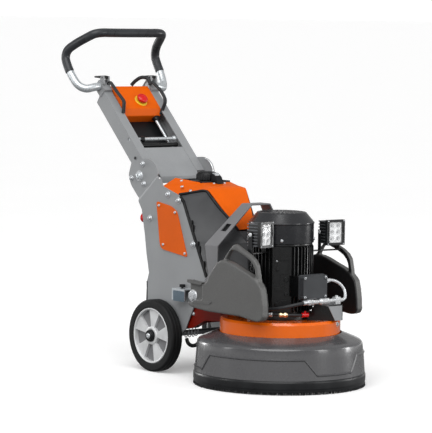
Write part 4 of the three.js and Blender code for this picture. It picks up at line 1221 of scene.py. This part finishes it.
def yoke_pads():
    """Dark rubber pads behind the windows in the lifting yoke's legs."""
    for side, sign in SIDES:
        out = Vector((0, 0.773 * sign, 0.64))
        seat = Vector((-159, sign * 99.3, 509)) - out * 3
        piece(f"yoke_pad_{side}", puck(21, 2, 40, seat, out), SOFT_BLACK, slot="skirt_rubber")


def cover_seals():
    """The black rubber roll between the dark cover and the orange hood."""
    for side, sign in SIDES:
        path = spline([(x, sign * y, z) for x, y, z in SEAL_PATH], 80)
        piece(f"cover_seal_{side}", swept(path, 4.8, 16), SOFT_BLACK, slot="skirt_rubber")


def latch_details(side, sign):
    window = panel(-356, 252, -296, 287, 3)
    near, far = sorted((sign * 167.6, sign * 169))
    piece(f"latch_plate_{side}", slab(window, near, far), BLUE_ZINC, bevel=0.5)


def hanging_hooks():
    """Bent wire hooks that hang the shroud from the frame, with a dark link below."""
    parts = []
    for x, z in ((-350, 146), (-331, 149), (-312, 153), (-296, 157)):
        path = [(x - 6, -112, z + 8), (x - 7, -114, z - 8), (x - 3, -117, z - 20), (x + 5, -117, z - 20),
                (x + 8, -114, z - 8), (x + 7, -112, z + 3)]
        parts.append(swept(spline(path, 24), 1.5, 12))
    piece("hanging_hooks", combine(*parts), DARK_STEEL)
    piece("hook_rail", bar((-356, -112, 155), (-288, -112, 168), 4), MOTOR_BLACK)
    path = [(-356, -108, 118), (-344, -110, 104), (-326, -108, 98), (-306, -104, 104), (-298, -98, 116)]
    piece("shroud_link", swept(spline(path, 30), 6.5, 16), SOFT_BLACK, slot="hose_rubber")


for side, sign in SIDES:
    plate_details(side, sign)
    latch_details(side, sign)
hood()
hood_details()
filler_cap()
cap_catch()
cover_seals()
ear_edge_highlight()
yoke_pads()
hanging_hooks()
bolts("head_bracket_bolts", [((-296, s * 126, 210), (0, s, 0)) for _, s in SIDES], 6)


# ---------------------------------------------------------------- mast
def mast_details():
    out = 1 / math.sqrt(2)
    corners = [mast(a, b, 0) for a, b in ((90, -3), (250, -3), (250, 0), (90, 0))]
    back = slab([(p.x, p.z) for p in corners], -84.5, 84.5)
    piece("mast_back_panel", back, BLACK_PLASTIC, "mast", bevel=0.6)
    ball = turned([(0, 0), (7, 1), (9.5, 5), (9.5, 9), (7, 13), (0, 14)], 32, mast(134, 38, 70), (0, 1, 0))
    piece("rod_ball", ball, CHROME, "mast")
    collar = turned([(6.2, 0), (11, 0), (11, 14), (6.2, 14)], 32, mast(134, 38, -72), (0, 1, 0))
    piece("rod_collar", collar, BLACK_PLASTIC, "mast", bevel=0.8)
    piece("lower_bar", bar(mast(112, 30, -84), mast(112, 30, 84), 8), MOTOR_BLACK, "mast")
    piece("arm_dot", puck(3.4, 0.6, 24, mast(-29, 46, -91), (out, 0, out)), SOFT_BLACK, "mast")
    gland = combine(
        turned([(0, 0), (11, 0), (11, 9), (9, 15), (6, 18), (0, 18)], 32, mast(248, 22, 66), (out, 0, -out)),
        hex_bar(mast(249, 22, 66), mast(243, 22, 66), 13),
    )
    piece("box_gland", gland, BLACK_PLASTIC, "mast")
    piece("guide_rod", bar(mast(232, 22, 62), mast(96, 22, 62), 5), CHROME, "mast")
    lead = [mast(232, 22, 68), mast(210, 22, 70), mast(180, 18, 74), mast(150, 14, 76), mast(120, 8, 78),
            mast(90, 4, 78)]
    hose("box_lead", lead, 3.6, body="mast")


def stop_collar():
    out = Vector((1, 0, 1)).normalized()
    base = mast(302, 51.5, 14)
    ring = [(10, 0), (24, 0), (24, 1.2), (22, 2.4), (16, 2.8), (10, 2.8)]
    piece("stop_collar", turned(ring, 64, base, out), YELLOW, "mast")
    cap = [(0, -22), (9, -22), (9, 2), (19, 3), (20, 5.5), (19, 10.5), (15, 14), (8, 15.7), (0, 16)]
    button = turned(cap, 64, base + out * 6.4, out)
    piece("stop_mushroom", button, RED, "stop_button", stands_for="emergency_stop")


def cables():
    """Doubled cables that loop in front of the arms, from the handle's clamps down to the control box."""
    right = [(378, 58, -92), (377, 69, -92), (352, 72, -91), (322, 74, -90), (296, 76, -88), (278, 76, -87),
             (264, 66, -89), (248, 49, -90)]
    left = [(372, 58, 88), (376, 69, 88), (352, 78, 92), (325, 82, 95), (296, 82, 96), (276, 76, 95),
            (264, 56, 91), (254, 36, 84), (246, 22, 72)]
    for side, route in (("right", right), ("left", left)):
        strands = []
        for shift in (-3.4, 3.4):
            path = [mast(a, b, y + shift) for a, b, y in route]
            strands.append(swept(spline(path, 70), 3.7, 14))
        piece(f"cable_loop_{side}", combine(*strands), HOSE, "mast", stands_for=f"control_cable_{side}")
    bundle = [(-818, 84, 962), (-828, 80, 982), (-850, 70, 986), (-872, 60, 974), (-886, 52, 958)]
    hose("cable_bundle", bundle, 6.5, body="mast")


HANDLE_SIDE = (
    (-846, 90, 955), (-846, 110, 955), (-846, 131, 955), (-849, 147, 952), (-857, 169, 948), (-876, 188, 959),
    (-902, 198, 992), (-926, 200, 1027), (-939, 199, 1056), (-932, 195, 1080), (-905, 182, 1102),
    (-866, 165, 1124), (-838, 148, 1139), (-828, 124, 1143), (-827, 84, 1143), (-827, 30, 1143),
)


def handlebar():
    route = [(x, -y, z) for x, y, z in HANDLE_SIDE] + list(reversed(HANDLE_SIDE))
    samples = 190
    path = spline(route, samples)
    piece("handle_tube", swept(path, 13.9, 28), CHROME, "handle", stands_for="handlebar")
    start = round(samples * 6 / 38)
    part = path[start:samples - start + 1]
    piece("grip_sleeve", swept(part, 15.4, 32, from_end=2), GRIP, "handle", stands_for="handle_grip")


mast_details()
stop_collar()
cables()
handlebar()


# ---------------------------------------------------------------- floor, lights and camera
FLOOR_RADIUS = 900.0  # metres


def stage():
    """A pale floor, wide enough to meet the horizon."""
    mesh = bpy.data.meshes.new("studio_floor")
    mesh.from_pydata(loop_at(FLOOR_RADIUS, 0, 128), [], [list(range(128))])
    floor = link("studio_floor", mesh)
    n = Nodes("pale_floor")
    cloud = n.noise(1.5, 2)
    base = n.mix(cloud, (0.93, 0.93, 0.93, 1), (0.95, 0.95, 0.95, 1))
    n.set({"Emission Color": WHITE, "Emission Strength": 0.16})
    floor.data.materials.append(n.finish(base, n.span(cloud, 0.7, 0.8), specular=0.1))
    floor.visible_diffuse = False
    floor.visible_glossy = False


def light(name, kind, place, direction, **settings):
    data = bpy.data.lights.new(name, kind)
    for key, value in settings.items():
        setattr(data, key, value)
    obj = link(name, data)
    obj.location = place
    obj.rotation_mode = "QUATERNION"
    obj.rotation_quaternion = Vector(direction).to_track_quat("-Z", "Y")


def soft_box(name, place, target, size, power, height):
    light(name, "AREA", place, Vector(target) - Vector(place), shape="RECTANGLE", size=size, size_y=height,
          energy=power)


def lights():
    """A room that is bright at the horizon and dimmer overhead, one broad key and four soft boxes."""
    world = bpy.data.worlds.new("studio")
    world.use_nodes = True
    tree = world.node_tree
    backdrop = tree.nodes["Background"]
    coords = tree.nodes.new("ShaderNodeTexCoord")
    split = tree.nodes.new("ShaderNodeSeparateXYZ")
    ramp = tree.nodes.new("ShaderNodeValToRGB")
    shift = tree.nodes.new("ShaderNodeMapRange")
    shift.inputs["From Min"].default_value = -1.0
    points = ramp.color_ramp.elements
    points[0].color, points[1].color = (0.16, 0.16, 0.16, 1), (0.42, 0.42, 0.42, 1)
    for place, level in ((0.47, 0.24), (0.488, 1.1), (0.512, 1.1), (0.55, 0.3)):
        points.new(place).color = (level, level, level, 1)
    tree.links.new(coords.outputs["Generated"], split.inputs["Vector"])
    tree.links.new(split.outputs["Z"], shift.inputs["Value"])
    tree.links.new(shift.outputs["Result"], ramp.inputs["Fac"])
    tree.links.new(ramp.outputs["Color"], backdrop.inputs["Color"])
    bpy.context.scene.world = world
    light("key", "SUN", (0, 0, 0), (-0.5, 0.55, -0.8), energy=2.25, angle=math.radians(60))
    middle_aim, low_aim = (0, 0, 0.5), (0.33, 0, 0.2)
    soft_box("right_box", (4.2, 1.4, 1.6), middle_aim, 1.0, 40, 2.4)
    soft_box("left_box", (-2.0, -4.4, 1.8), middle_aim, 1.0, 30, 2.6)
    soft_box("left_rim", (-4.3, -0.9, 0.9), low_aim, 0.9, 35, 1.6)
    soft_box("right_rim", (2.2, 4.2, 0.9), low_aim, 0.9, 45, 1.6)


def camera():
    """The camera stands in front and to the machine's right, a little above it, with a slight roll."""
    yaw, pitch, roll = (math.radians(a) for a in (50.6042, 4.4453, 0.7611))
    back = Vector((math.sin(yaw) * math.cos(pitch), -math.cos(yaw) * math.cos(pitch), math.sin(pitch)))
    level = Vector((math.cos(yaw), math.sin(yaw), 0))
    upright = back.cross(level)
    right = level * math.cos(roll) + upright * math.sin(roll)
    up = upright * math.cos(roll) - level * math.sin(roll)
    data = bpy.data.cameras.new("view")
    data.sensor_width = 36
    data.lens = 215.37
    data.clip_end = 3000
    view = link("view", data)
    turn = Matrix((right, up, back)).transposed().to_4x4()
    view.matrix_world = Matrix.Translation(at(6422.1, -5553.5, 1209.7)) @ turn
    bpy.context.scene.camera = view


stage()
lights()
camera()
bpy.context.scene.view_settings.view_transform = "Standard"
